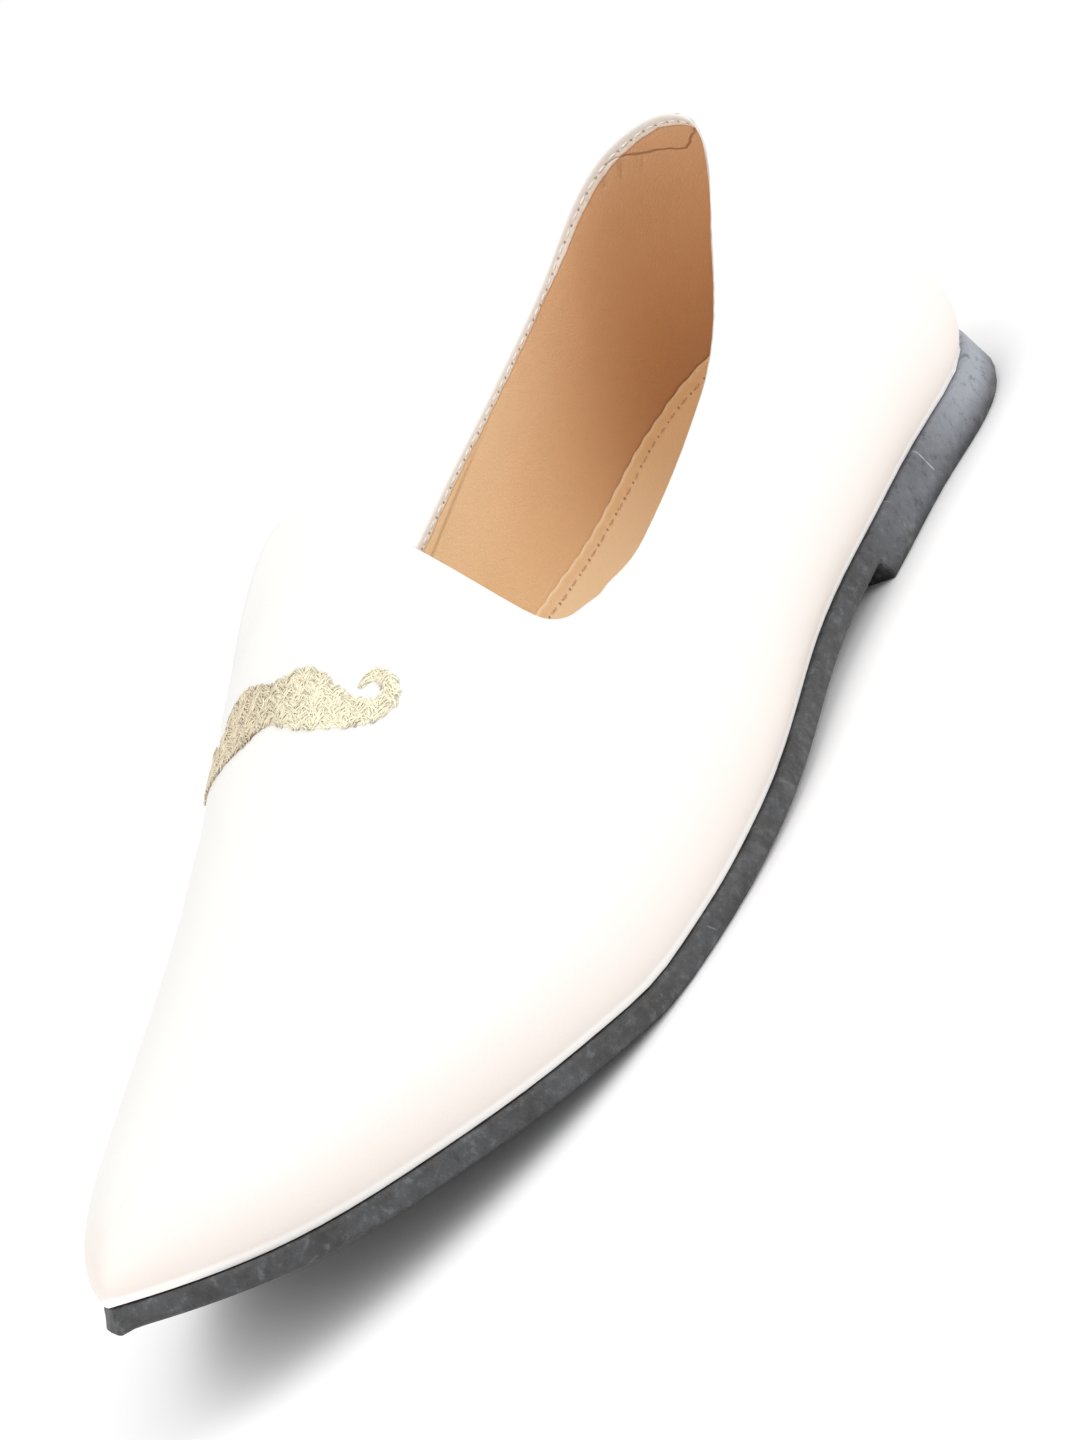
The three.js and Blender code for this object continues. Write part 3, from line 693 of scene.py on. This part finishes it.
wander = calc(tree, "SUBTRACT", speckle(tree, place, 300.0), 0.5)
over_fold = calc(tree, "MULTIPLY_ADD", wander, 0.7, attribute(tree, "fold"))
fold_shadow_line = within(tree, over_fold, 0.0, 0.3)
# painted shadow: a thin dark line at the edge of the white fold
colour = blend(tree, calc(tree, "MULTIPLY", fold_shadow_line, 0.25), colour, TAN_SEAM_AND_SHADOW)
# the white fold band, painted lighter than the upper's own white
colour = blend(tree, span(tree, over_fold, -0.3, 0.15, 1.0, 0.0), colour, WHITE_PAINTED_LIGHT)
tree.links.new(colour, shader.inputs["Base Color"])

step = span(tree, over_fold, -0.35, 0.35, 2.0, 0.0)
facing_step = calc(tree, "MULTIPLY", span(tree, over_facing, -0.6, 0.6, 1.6, 0.0), near_throat)
tab_step = calc(tree, "MULTIPLY", span(tree, over_tab, -0.5, 0.5, 0.0, 2.2), at_back)
step = calc(tree, "ADD", calc(tree, "ADD", step, facing_step), tab_step)
groove = calc(tree, "MULTIPLY_ADD", tab, -2.5, calc(tree, "MULTIPLY_ADD", pucker, -2.6, step))
relief(tree, shader, calc(tree, "ADD", grain.outputs["Height"], groove), 0.55, 0.00018)

# %% Dress the upper
upper.data.materials.append(white_leather)
upper.data.materials.append(tan_lining)
smooth_by_angle(upper, 60)
finished(upper, "upper_leather", "upper")
print("upper:", len(upper.data.polygons), "faces")

# %% [markdown]
# ## The sole
# One moulded unit of dark grey rubber: a thin forefoot, a waist and a low heel. The copy gets its edges
# rounded by a bevel, and the material has the mottled skin of moulded rubber, a painted highlight on the
# back of the heel, painted shade along the bottom edge and on the breast, fine ribs underneath, dust, and
# the light scratches that the picture shows on the side of the heel.

# %% Rubber
RUBBER = (0.033, 0.032, 0.031, 1)
RUBBER_HEEL = (0.098, 0.100, 0.112, 1)
RUBBER_PALE_AND_HIGHLIGHT = (0.36, 0.385, 0.43, 1)
RUBBER_DARK_AND_SHADE = (0.016, 0.016, 0.017, 1)
RUBBER_DUST = (0.28, 0.28, 0.27, 1)
RUBBER_SCRATCH = (0.42, 0.44, 0.46, 1)
SCRATCHES = [
    # where it crosses the floor line, its slope, its height from and to, width, in metres, and strength
    (-0.0957, 0.14, 0.0034, 0.0098, 0.00030, 0.9),
    (-0.0815, 0.26, 0.0084, 0.0105, 0.00040, 0.8),
    (-0.0760, -0.55, 0.0030, 0.0048, 0.00022, 0.5),
    (-0.1180, 0.70, 0.0060, 0.0090, 0.00020, 0.4),
    (0.0350, 0.50, 0.0010, 0.0040, 0.00022, 0.3),
]
SCRATCH_END = 0.0012  # a scratch fades out over this height
# from and to, in metres, along the shoe or in height
HEEL_PART = (-0.085, -0.060)
HIGHLIGHT_BACK = (-0.122, -0.088)
HIGHLIGHT_ABOVE = (0.0015, 0.0065)
FLOOR_SHADE_BAND = (0.0004, 0.0034)
HEEL_FRONT = (-0.066, -0.060)
BREAST_SHADE_SPAN = (-0.058, -0.050)


def scratches(tree, place):
    """Thin slanting lines on the side of the sole, broken up along their length."""
    x, z = axis(tree, place, "X"), axis(tree, place, "Z")
    found = 0.0
    for at, slope, low, high, width, strong in SCRATCHES:
        off = calc(tree, "SUBTRACT", x, calc(tree, "MULTIPLY_ADD", z, slope, at))
        off = calc(tree, "ABSOLUTE", off)
        reach = calc(tree, "MULTIPLY", span(tree, z, low, low + SCRATCH_END),
                     span(tree, z, high - SCRATCH_END, high, 1.0, 0.0))
        one = calc(tree, "MULTIPLY", span(tree, off, 0.0, width, strong, 0.0), reach)
        found = calc(tree, "MAXIMUM", one, found)
    return calc(tree, "MULTIPLY", found, span(tree, speckle(tree, place, 500.0), 0.3, 0.55))


rubber, tree, shader, place = material("grey_rubber", 0.6, Specular_IOR_Level=0.4)
grain = use(tree, GRAIN, Place=place, Cells_per_metre=900.0, Swell=0.8)
vary = use(tree, VARIATION, Place=place, Scale=120.0, Dust_height=0.008)
x, z = axis(tree, place, "X"), axis(tree, place, "Z")
facing = add(tree, "ShaderNodeNewGeometry").outputs["Normal"]
colour = blend(tree, span(tree, x, *HEEL_PART, 1.0, 0.0), RUBBER, RUBBER_HEEL)
# painted highlight: the upper part of the back of the heel is much paler
heel_back_highlight = calc(tree, "MULTIPLY", span(tree, x, *HIGHLIGHT_BACK, 1.0, 0.0), span(tree, z, *HIGHLIGHT_ABOVE))
colour = blend(tree, calc(tree, "MULTIPLY", heel_back_highlight, 0.75), colour, RUBBER_PALE_AND_HIGHLIGHT)
colour = blend(tree, calc(tree, "MULTIPLY", vary.outputs["Shade"], 0.10), colour, RUBBER_PALE_AND_HIGHLIGHT)
fine = speckle(tree, place, 520.0, 5.0, 0.7)
colour = blend(tree, span(tree, fine, 0.50, 0.72, 0.0, 0.16), colour, RUBBER_PALE_AND_HIGHLIGHT)
colour = blend(tree, span(tree, fine, 0.30, 0.48, 0.55, 0.0), colour, RUBBER_DARK_AND_SHADE)
# painted shade: darker along the bottom edge, most at the heel
floor_shade = calc(tree, "MULTIPLY", span(tree, z, *FLOOR_SHADE_BAND, 0.75, 0.0),
                span(tree, x, *HEEL_FRONT, 1.0, 0.35))
colour = blend(tree, floor_shade, colour, RUBBER_DARK_AND_SHADE)
# painted shade on the forward-facing breast of the heel
breast_shade = calc(tree, "MULTIPLY", span(tree, axis(tree, facing, "X"), 0.75, 0.95),
              span(tree, x, *BREAST_SHADE_SPAN, 0.85, 0.0))
colour = blend(tree, breast_shade, colour, RUBBER_DARK_AND_SHADE)
colour = blend(tree, calc(tree, "MULTIPLY", vary.outputs["Dust"], 0.22), colour, RUBBER_DUST)
marks = scratches(tree, place)
colour = blend(tree, marks, colour, RUBBER_SCRATCH)
tree.links.new(colour, shader.inputs["Base Color"])
tree.links.new(span(tree, vary.outputs["Shade"], 0.0, 1.0, 0.5, 0.68), shader.inputs["Roughness"])
under = span(tree, axis(tree, facing, "Z"), -0.9, -0.6, 1.0, 0.0)
ribs = bands(tree, place, 90.0, 0.0, 2.0)
height = calc(tree, "MULTIPLY_ADD", calc(tree, "MULTIPLY", ribs, under), 2.0, grain.outputs["Height"])
height = calc(tree, "MULTIPLY_ADD", fine, 1.4, height)
relief(tree, shader, calc(tree, "SUBTRACT", height, marks), 0.5, 0.0002)

# %% Sole
BEVEL_FROM = math.radians(28)

outsole = merged_copy("outsole", "outsole_rubber")
modify(outsole, "BEVEL", width=0.0008, segments=3, limit_method="ANGLE", angle_limit=BEVEL_FROM)
smooth_by_angle(outsole, 40)
outsole.data.materials.append(rubber)
finished(outsole, "sole_rubber", "outsole")
print("sole:", len(outsole.data.polygons), "faces")

# %% [markdown]
# ## The insole and its turned-up margin
# The sock is tan leather on the insole. In the picture its stitched margin stands up against the lining
# all round the heel, with a wavy cut edge. The margin starts as a flat grid. Each row of it is laid on
# the lining by a ray from the middle of the shoe, and a Solidify modifier gives it the leather's weight.

# %% Sock leather
SOCK = (0.98, 0.80, 0.56, 1)
SOCK_DARK = (0.93, 0.71, 0.47, 1)

sock_leather, tree, shader, place = material("sock_leather", 0.58)
grain = use(tree, GRAIN, Place=place, Cells_per_metre=1000.0, Swell=1.0)
vary = use(tree, VARIATION, Place=place, Scale=18.0, Dust_height=0.001)
colour = blend(tree, calc(tree, "MULTIPLY", vary.outputs["Shade"], 0.5), SOCK, SOCK_DARK)
tree.links.new(colour, shader.inputs["Base Color"])
relief(tree, shader, grain.outputs["Height"], 0.4, 0.00018)

# %% Insole
insole = merged_copy("insole", "insole_sock")
modify(insole, "BEVEL", width=0.0006, segments=2, limit_method="ANGLE", angle_limit=BEVEL_FROM)
smooth_by_angle(insole, 40)
insole.data.materials.append(sock_leather)
finished(insole, "sock_leather", "insole")

# %% Margin
MARGIN_ROWS = 13
END_STATIONS = 9  # over which both ends of the strip come up from the insole
MARGIN_FRONT = 6.0  # this x and the sizes below are in mm
HEEL_ROUND_X = -111.0
MARGIN_TOP = 21.0  # over the floor, at the waist
HIGHER_AT_HEEL = 3.4
HIGHER_AT_BACK = 1.6
TUCKED_UNDER = 0.4
SEAM_BELOW_TOP = 2.5
SEAM_HALF_WIDTH = 1.1
SEAM_PULLS_IN = 0.34
STITCH_PROUD = 0.6
CUT_WANDER = 0.35


def margin_stations(step=1.6):
    """Where the rays start and point, from the outer waist round the heel to the inner waist."""
    run = np.arange(MARGIN_FRONT, HEEL_ROUND_X, -step)
    outer = [((x, 0), (0, 1)) for x in run]
    turn = np.linspace(90, 270, 60)[1:-1]
    round_heel = [((HEEL_ROUND_X, 0), (math.cos(math.radians(a)), math.sin(math.radians(a)))) for a in turn]
    inner = [((x, 0), (0, -1)) for x in run[::-1]]
    return outer + round_heel + inner


INSOLE_TREE = tree_of(insole)
stations = margin_stations()
wave = np.cumsum(RNG.normal(0, 1, len(stations)))
wave = np.convolve(wave - wave.mean(), np.ones(5) / 5, "same")
wave = CUT_WANDER * wave / np.abs(wave).max()


def foot_and_top(i):
    """Heights of the lower and the upper edge of the strip at one station."""
    (x, y), (dx, dy) = stations[i]
    over_insole = Vector((x + dx * 20, y + dy * 20, 60)) * MM
    foot = INSOLE_TREE.ray_cast(over_insole, Vector((0, 0, -1)))[0].z / MM
    top = MARGIN_TOP + HIGHER_AT_HEEL * float(ramp(-x, 70, 111)) + HIGHER_AT_BACK * abs(dx)
    top += wave[i] + 0.25 * math.sin(i * 2.1)
    from_end = min(i, len(stations) - 1 - i)
    return foot, foot + (top - foot) * float(ramp(from_end, 0, END_STATIONS))


def on_lining(i, height):
    """Where a level ray at that height meets the lining, and which way the lining faces there."""
    (x, y), (dx, dy) = stations[i]
    hit, normal, _, _ = LINING.ray_cast(Vector((x, y, height)) * MM, Vector((dx, dy, 0)))
    return hit, normal


# %% Lay the grid on the lining
nothing_selected()
bpy.ops.mesh.primitive_grid_add(x_subdivisions=len(stations) - 1, y_subdivisions=MARGIN_ROWS - 1, size=0.1)
margin = bpy.context.object
margin.name = "sock_margin"
place_of = np.zeros((len(margin.data.vertices), 3))
grid = points_of(margin)
columns = np.rint((grid[:, 0] / 0.1 + 0.5) * (len(stations) - 1)).astype(int)
rows = np.rint((grid[:, 1] / 0.1 + 0.5) * (MARGIN_ROWS - 1)).astype(int)
stitch_line = {}
for v, (i, j) in enumerate(zip(columns, rows)):
    foot, top = foot_and_top(i)
    t = j / (MARGIN_ROWS - 1)
    z = foot - TUCKED_UNDER + (top - foot + TUCKED_UNDER) * t
    seam_z = max(top - SEAM_BELOW_TOP, foot + 1.0)
    across_seam = math.exp(-(((z - seam_z) / SEAM_HALF_WIDTH) ** 2))
    pucker = SEAM_PULLS_IN * across_seam * (0.55 + 0.45 * math.cos(i * math.pi))
    proud = 0.45 + 0.5 * (1 - t) ** 2 + 0.3 * float(ramp(t, 0.8, 1.0)) - pucker
    hit, normal = on_lining(i, z)
    place_of[v] = hit + normal * proud * MM
    if j == 0:
        hit, normal = on_lining(i, seam_z)
        stitch_line[i] = hit + normal * STITCH_PROUD * MM
margin.data.vertices.foreach_set("co", place_of.ravel())
margin.data.update()
modify(margin, "SOLIDIFY", thickness=0.0007, offset=1.0)
work_on(margin)
bpy.ops.object.mode_set(mode="EDIT")
bpy.ops.mesh.select_all(action="SELECT")
bpy.ops.mesh.normals_make_consistent(inside=False)
bpy.ops.object.mode_set(mode="OBJECT")
modify(margin, "SUBSURF", levels=1, render_levels=1)
smooth_by_angle(margin, 50)
margin.data.materials.append(sock_leather)
finished(margin, "sock_leather")
print("margin:", len(stations), "stations,", len(margin.data.polygons), "faces")

# %% [markdown]
# ## Stitches
# A stitch is a short bead of thread with its ends drawn into the leather, and the picture shows the
# needle holes as dark dots. One bead and one hole are modelled from spheres, the hole as a flat disc
# painted dark as the shade of the pit, and their points are then repeated along the seams. Everything of
# one kind ends up in a single mesh.

# %% Bead and hole
def small_shape(name, size, segments, rings):
    """A sphere stretched to a bead or flattened to a hole, as bare points and faces."""
    nothing_selected()
    bpy.ops.mesh.primitive_uv_sphere_add(segments=segments, ring_count=rings, radius=0.5)
    shape = bpy.context.object
    bpy.ops.object.mode_set(mode="EDIT")
    bpy.ops.mesh.select_all(action="SELECT")
    bpy.ops.transform.resize(value=size)
    bpy.ops.object.mode_set(mode="OBJECT")
    points = points_of(shape)
    faces = [tuple(p.vertices) for p in shape.data.polygons]
    bpy.data.objects.remove(shape)
    print(name, len(points), "points")
    return points, faces


BEAD = small_shape("bead", (0.0024, 0.00062, 0.00055), 8, 6)
HOLE = small_shape("hole", (0.00062, 0.00062, 0.00035), 8, 5)


def repeat(name, shape, places):
    """One mesh with the shape at every place: where, along, and out of the surface."""
    points, faces = shape
    all_points, all_faces = [], []
    for where, along, out in places:
        side = out.cross(along).normalized()
        along = side.cross(out).normalized()
        turn = np.array([along[:], side[:], out[:]])
        start = len(all_points) * len(points)
        all_points.append(points @ turn + np.array(where[:]))
        all_faces += [tuple(i + start for i in f) for f in faces]
    piece = mesh_piece(name, np.vstack(all_points), all_faces)
    for p in piece.data.polygons:
        p.use_smooth = True
    print(name, len(places), "copies")
    return piece


# %% Thread and hole materials
def thread_material(name, light, dark, rough):
    m, tree, shader, place = material(name, rough)
    twist = bands(tree, place, 900.0, 2.0, 1.0)
    tree.links.new(blend(tree, twist, dark, light), shader.inputs["Base Color"])
    relief(tree, shader, twist, 0.5, 0.0001)
    return m


# painted shade: the needle holes are dark discs standing for the shade inside the pits
HOLE_SHADE_DEEP = (0.34, 0.27, 0.22, 1)
HOLE_SHADE_EDGE = (0.52, 0.43, 0.36, 1)
white_thread = thread_material("white_thread", (0.86, 0.84, 0.80, 1), (0.70, 0.67, 0.62, 1), 0.6)
tan_thread = thread_material("tan_thread", (0.80, 0.60, 0.42, 1), (0.60, 0.38, 0.22, 1), 0.6)
hole_shade, tree, shader, place = material("needle_hole", 0.8)
pit = speckle(tree, place, 900.0)
tree.links.new(blend(tree, pit, HOLE_SHADE_DEEP, HOLE_SHADE_EDGE), shader.inputs["Base Color"])

# %% Seam round the rim
SEAM_STEP = 0.0034
INNER_SEAM = 0.0015  # below the crest of the rim
OUTER_SEAM = 0.0021
BEAD_SINKS = 0.00012
HOLE_SINKS = 0.00002


def seam_places(skin, depth):
    """Beads along the rim on one skin, and a hole between each two of them."""
    beads, holes = [], []
    for where, along, up in rim_frames(SEAM_STEP):
        hit, normal, _, _ = skin.find_nearest(where - up * depth)
        beads.append((hit - normal * BEAD_SINKS, along, normal))
        hit, normal, _, _ = skin.find_nearest(hit + along * SEAM_STEP * 0.5)
        holes.append((hit - normal * HOLE_SINKS, along, normal))
    return beads, holes


inner_beads, inner_holes = seam_places(LINING, INNER_SEAM)
outer_beads, _ = seam_places(LEATHER, OUTER_SEAM)
rim_thread = repeat("rim_thread", BEAD, inner_beads + outer_beads)
rim_thread.data.materials.append(white_thread)
finished(rim_thread, "upper_leather")
rim_holes = repeat("rim_holes", HOLE, inner_holes)
rim_holes.data.materials.append(hole_shade)
finished(rim_holes, "upper_leather")

# %% Seam along the margin
MARGIN_STEP = 0.0042
MARGIN_BEAD_SINKS = 0.0001
HOLE_AFTER_BEAD = 0.0019
BARE_ENDS = 3  # stitches left out at each end
MARGIN_TREE = tree_of(margin)

margin_beads, margin_holes = [], []
line = round_path([stitch_line[i] for i in sorted(stitch_line)], MARGIN_STEP, closed=False)
for i in range(BARE_ENDS, len(line) - BARE_ENDS):
    along = Vector(line[i + 1] - line[i - 1]).normalized()
    middle = Vector((max(line[i][0], HEEL_MIDDLE.x), 0, line[i][2]))
    out = (middle - Vector(line[i])).normalized()
    hit, normal, _, _ = MARGIN_TREE.ray_cast(Vector(line[i]) + out * 0.004, -out)
    if hit is None:
        continue
    margin_beads.append((hit - normal * MARGIN_BEAD_SINKS, along, normal))
    margin_holes.append((hit + along * HOLE_AFTER_BEAD, along, normal))
margin_thread = repeat("margin_thread", BEAD, margin_beads)
margin_thread.data.materials.append(tan_thread)
finished(margin_thread, "sock_leather")
margin_hole_piece = repeat("margin_holes", HOLE, margin_holes)
margin_hole_piece.data.materials.append(hole_shade)
finished(margin_hole_piece, "sock_leather")

# %% [markdown]
# ## The embroidery
# The motif is couched gold thread: short, springy lengths laid close together in a zig-zag over a
# padding, so the surface looks scribbled and its outline is ragged. The padding is the solid's copy,
# pressed flat onto the leather. One length of thread is a thin cylinder, bent in edit mode, and many
# copies of it are laid over the padding, slanting one way or the other in slow waves.

# %% Gold thread material
GOLD_PALE = (0.93, 0.90, 0.70, 1)
GOLD_TAN = (0.55, 0.44, 0.30, 1)
GOLD_GREY = (0.36, 0.33, 0.27, 1)
GOLD_TWIST = (0.46, 0.38, 0.24, 1)
PAD_PALE = (0.86, 0.83, 0.69, 1)
PAD_TAN = (0.52, 0.42, 0.30, 1)
PAD_WEAVE = (0.50, 0.42, 0.28, 1)

gold_thread, tree, shader, place = material("gold_thread", 0.45, Metallic=0.15, Sheen_Weight=0.15)
twist = bands(tree, place, 1100.0, 3.0, 1.0)
colour = blend(tree, attribute(tree, "shade"), GOLD_TAN, GOLD_PALE)
colour = blend(tree, attribute(tree, "grey"), colour, GOLD_GREY)
colour = blend(tree, calc(tree, "MULTIPLY", twist, 0.18), colour, GOLD_TWIST)
tree.links.new(colour, shader.inputs["Base Color"])
relief(tree, shader, twist, 0.5, 0.00008)

pad_ground, tree, shader, place = material("pad_ground", 0.65)
weave = speckle(tree, place, 700.0, 3.0)
inner_lobe = span(tree, axis(tree, place, "Y"), -0.016, -0.002, 1.0, 0.0)
colour = blend(tree, inner_lobe, PAD_PALE, PAD_TAN)
colour = blend(tree, calc(tree, "MULTIPLY", weave, 0.4), colour, PAD_WEAVE)
tree.links.new(colour, shader.inputs["Base Color"])
relief(tree, shader, weave, 0.6, 0.0002)

# %% Pad
PAD_TOP = 0.00026
PAD_FOOT = -0.00025
TOP_ABOVE = 0.0008  # a point of the solid further off the leather than this belongs to its top
motif = merged_copy("motif", "motif_pad")
pressed = []
for p in points_of(motif):
    on_skin, normal, _, away = LEATHER.find_nearest(Vector(p))
    pressed.append(on_skin + normal * (PAD_TOP if away > TOP_ABOVE else PAD_FOOT))
motif.data.vertices.foreach_set("co", np.array(pressed).ravel())
motif.data.update()
work_on(motif)
bpy.ops.object.mode_set(mode="EDIT")
bpy.ops.mesh.select_all(action="SELECT")
bpy.ops.mesh.subdivide(number_cuts=1)
bpy.ops.object.mode_set(mode="OBJECT")
smooth_by_angle(motif, 50)
motif.data.materials.append(pad_ground)
finished(motif, "gold_thread", "motif")


# %% Lengths of thread
THREAD_SHAPES = [
    # length, thickness and rise in the middle, in metres
    (0.0021, 0.00028, 0.00020),
    (0.0015, 0.00026, 0.00016),
]
END_DIPS = 0.00010


def thread_length(length, thick, sag, steps=3):
    """A thin five-sided thread that bows up in the middle and dips into the pad at both ends."""
    nothing_selected()
    bpy.ops.mesh.primitive_cylinder_add(vertices=5, radius=thick / 2, depth=length,
                                        rotation=(0, math.pi / 2, 0))
    thread = bpy.context.object
    bpy.ops.object.transform_apply(location=False, rotation=True, scale=False)
    bpy.ops.object.mode_set(mode="EDIT")
    b = bmesh.from_edit_mesh(thread.data)
    long_edges = [e for e in b.edges if abs((e.verts[0].co - e.verts[1].co).x) > length / 2]
    bmesh.ops.subdivide_edges(b, edges=long_edges, cuts=steps)
    for v in b.verts:
        t = v.co.x / (length / 2)
        v.co.z += sag * (1 - t * t) - END_DIPS
        v.co.y += 0.5 * sag * math.sin(t * 3.1)
    bmesh.update_edit_mesh(thread.data)
    bpy.ops.object.mode_set(mode="OBJECT")
    points = points_of(thread)
    faces = [tuple(p.vertices) for p in thread.data.polygons]
    bpy.data.objects.remove(thread)
    return points, faces


THREADS = [thread_length(*shape) for shape in THREAD_SHAPES]
print("threads:", [len(faces) for _, faces in THREADS], "faces each")

# %% The top of the pad and its outline
def on_top(face):
    _, normal, _, away = LEATHER.find_nearest(face.center)
    return away > PAD_TOP * 0.7 and face.normal.dot(normal) > 0.8


tops = [p for p in motif.data.polygons if on_top(p)]
top_tree = BVHTree.FromPolygons([v.co for v in motif.data.vertices], [tuple(p.vertices) for p in tops])
areas = np.array([p.area for p in tops])
used = {}
for p in tops:
    for key in p.edge_keys:
        used[key] = used.get(key, 0) + 1
outline = [motif.data.vertices[k].co.lerp(motif.data.vertices[m].co, s)
           for (k, m), times in used.items() if times == 1 for s in (0, 0.25, 0.5, 0.75)]
print("top of the pad:", round(areas.sum() * 1e6), "square mm")

# %% Lay the threads
THREADS_PER_SQUARE_MM = 4.2
MAY_STICK_OUT = 0.00045
LIFT = 0.00002
LIFT_VARIES = 0.00014
SLANT = 0.75
MIDDLE_Y = -9.9  # where the two lobes meet, in mm


def slant_at(where):
    """The threads lean one way and then the other, in slow waves across the pad."""
    return SLANT if math.sin(where.y * 1500 + 1.3 * math.sin(where.x * 900)) > 0 else -SLANT


wanted = int(areas.sum() * 1e6 * THREADS_PER_SQUARE_MM)
chosen = RNG.choice(len(areas), wanted, p=areas / areas.sum())
places, spots = [[], []], [[], []]
for n, index in enumerate(chosen):
    p = tops[index]
    corners = [motif.data.vertices[v].co for v in p.vertices]
    weights = RNG.dirichlet([1] * len(corners))
    where = sum((c * w for c, w in zip(corners, weights)), Vector())
    normal = LEATHER.find_nearest(where)[1]
    across = normal.cross(Vector((1, 0, 0))).normalized()
    down_shoe = across.cross(normal).normalized()
    angle = math.pi / 2 + slant_at(where) + RNG.normal(0, 0.3)
    along = across * math.cos(angle) + down_shoe * math.sin(angle)
    kind = n % 2
    reach = THREAD_SHAPES[kind][0] * 0.5
    if max(top_tree.find_nearest(where + along * s * reach)[3] for s in (-1, 1)) > MAY_STICK_OUT:
        continue
    places[kind].append((where + normal * (LIFT + LIFT_VARIES * RNG.random()), along, normal))
    spots[kind].append(where)
for kind in (0, 1):
    at = np.array(spots[kind])
    inner_lobe = 1 - ramp(at[:, 1] / MM, MIDDLE_Y - 4, MIDDLE_Y + 10)
    border = 1 - ramp(distances_to(at, outline), 0.1, 0.7)
    shade = np.clip(0.80 - 0.42 * inner_lobe + RNG.normal(0, 0.15, len(at)), 0, 1)
    grey = np.clip(border * (RNG.random(len(at)) < 0.4) * 0.75 + (RNG.random(len(at)) < 0.04) * 0.5, 0, 1)
    threads = repeat(f"gold_threads_{kind + 1}", THREADS[kind], places[kind])
    mark(threads, "shade", np.repeat(shade, len(THREADS[kind][0])))
    mark(threads, "grey", np.repeat(grey, len(THREADS[kind][0])))
    threads.data.materials.append(gold_thread)
    finished(threads, "gold_thread")
    print(threads.name, len(threads.data.polygons), "faces")

# %% [markdown]
# ## Floor and light
# The picture has a bright white ground, a brighter heel and a lining that darkens toward the heel, and
# only a soft dark wedge under the sole. So the key softbox stands on the outer side, behind the heel,
# a second one hangs in front of the toe, and a white surround lifts the shadows.

# %% Floor
PAPER = (0.93, 0.93, 0.935, 1)
PAPER_LIGHT = (0.95, 0.95, 0.95, 1)

nothing_selected()
bpy.ops.mesh.primitive_plane_add(size=6, location=(0, 0, 0))
floor = bpy.context.object
floor.name = "floor"
paper, tree, shader, place = material("white_paper", 0.9)
tree.links.new(blend(tree, speckle(tree, place, 3.0), PAPER, PAPER_LIGHT), shader.inputs["Base Color"])
floor.data.materials.append(paper)
floor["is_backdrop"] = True

# %% Lights
def softbox(name, place, size, watts):
    data = bpy.data.lights.new(name, "AREA")
    data.shape = "SQUARE"
    data.size = size
    data.energy = watts
    lamp = bpy.data.objects.new(name, data)
    bpy.context.scene.collection.objects.link(lamp)
    lamp.location = place
    lamp.rotation_euler = (-Vector(place)).to_track_quat("-Z", "Y").to_euler()
    print(name, "at", place, "with", watts, "W")


SURROUND = 0.80
softbox("softbox_key", (-0.55, 1.1, 0.85), size=1.0, watts=9.7)
softbox("softbox_front", (0.85, -0.15, 1.2), size=1.3, watts=11)
world = bpy.data.worlds.new("studio")
bpy.context.scene.world = world
world.use_nodes = True
world.node_tree.nodes["Background"].inputs["Color"].default_value = (1, 1, 1, 1)
world.node_tree.nodes["Background"].inputs["Strength"].default_value = SURROUND
bpy.context.scene.view_settings.view_transform = "Standard"

# %% [markdown]
# ## The size of the dressed shoe
# The box round all that is rendered, apart from the floor, is printed in millimetres.

# %% Finish
low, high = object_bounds()
print("visual box in mm:", [round(v / MM, 1) for v in high - low])
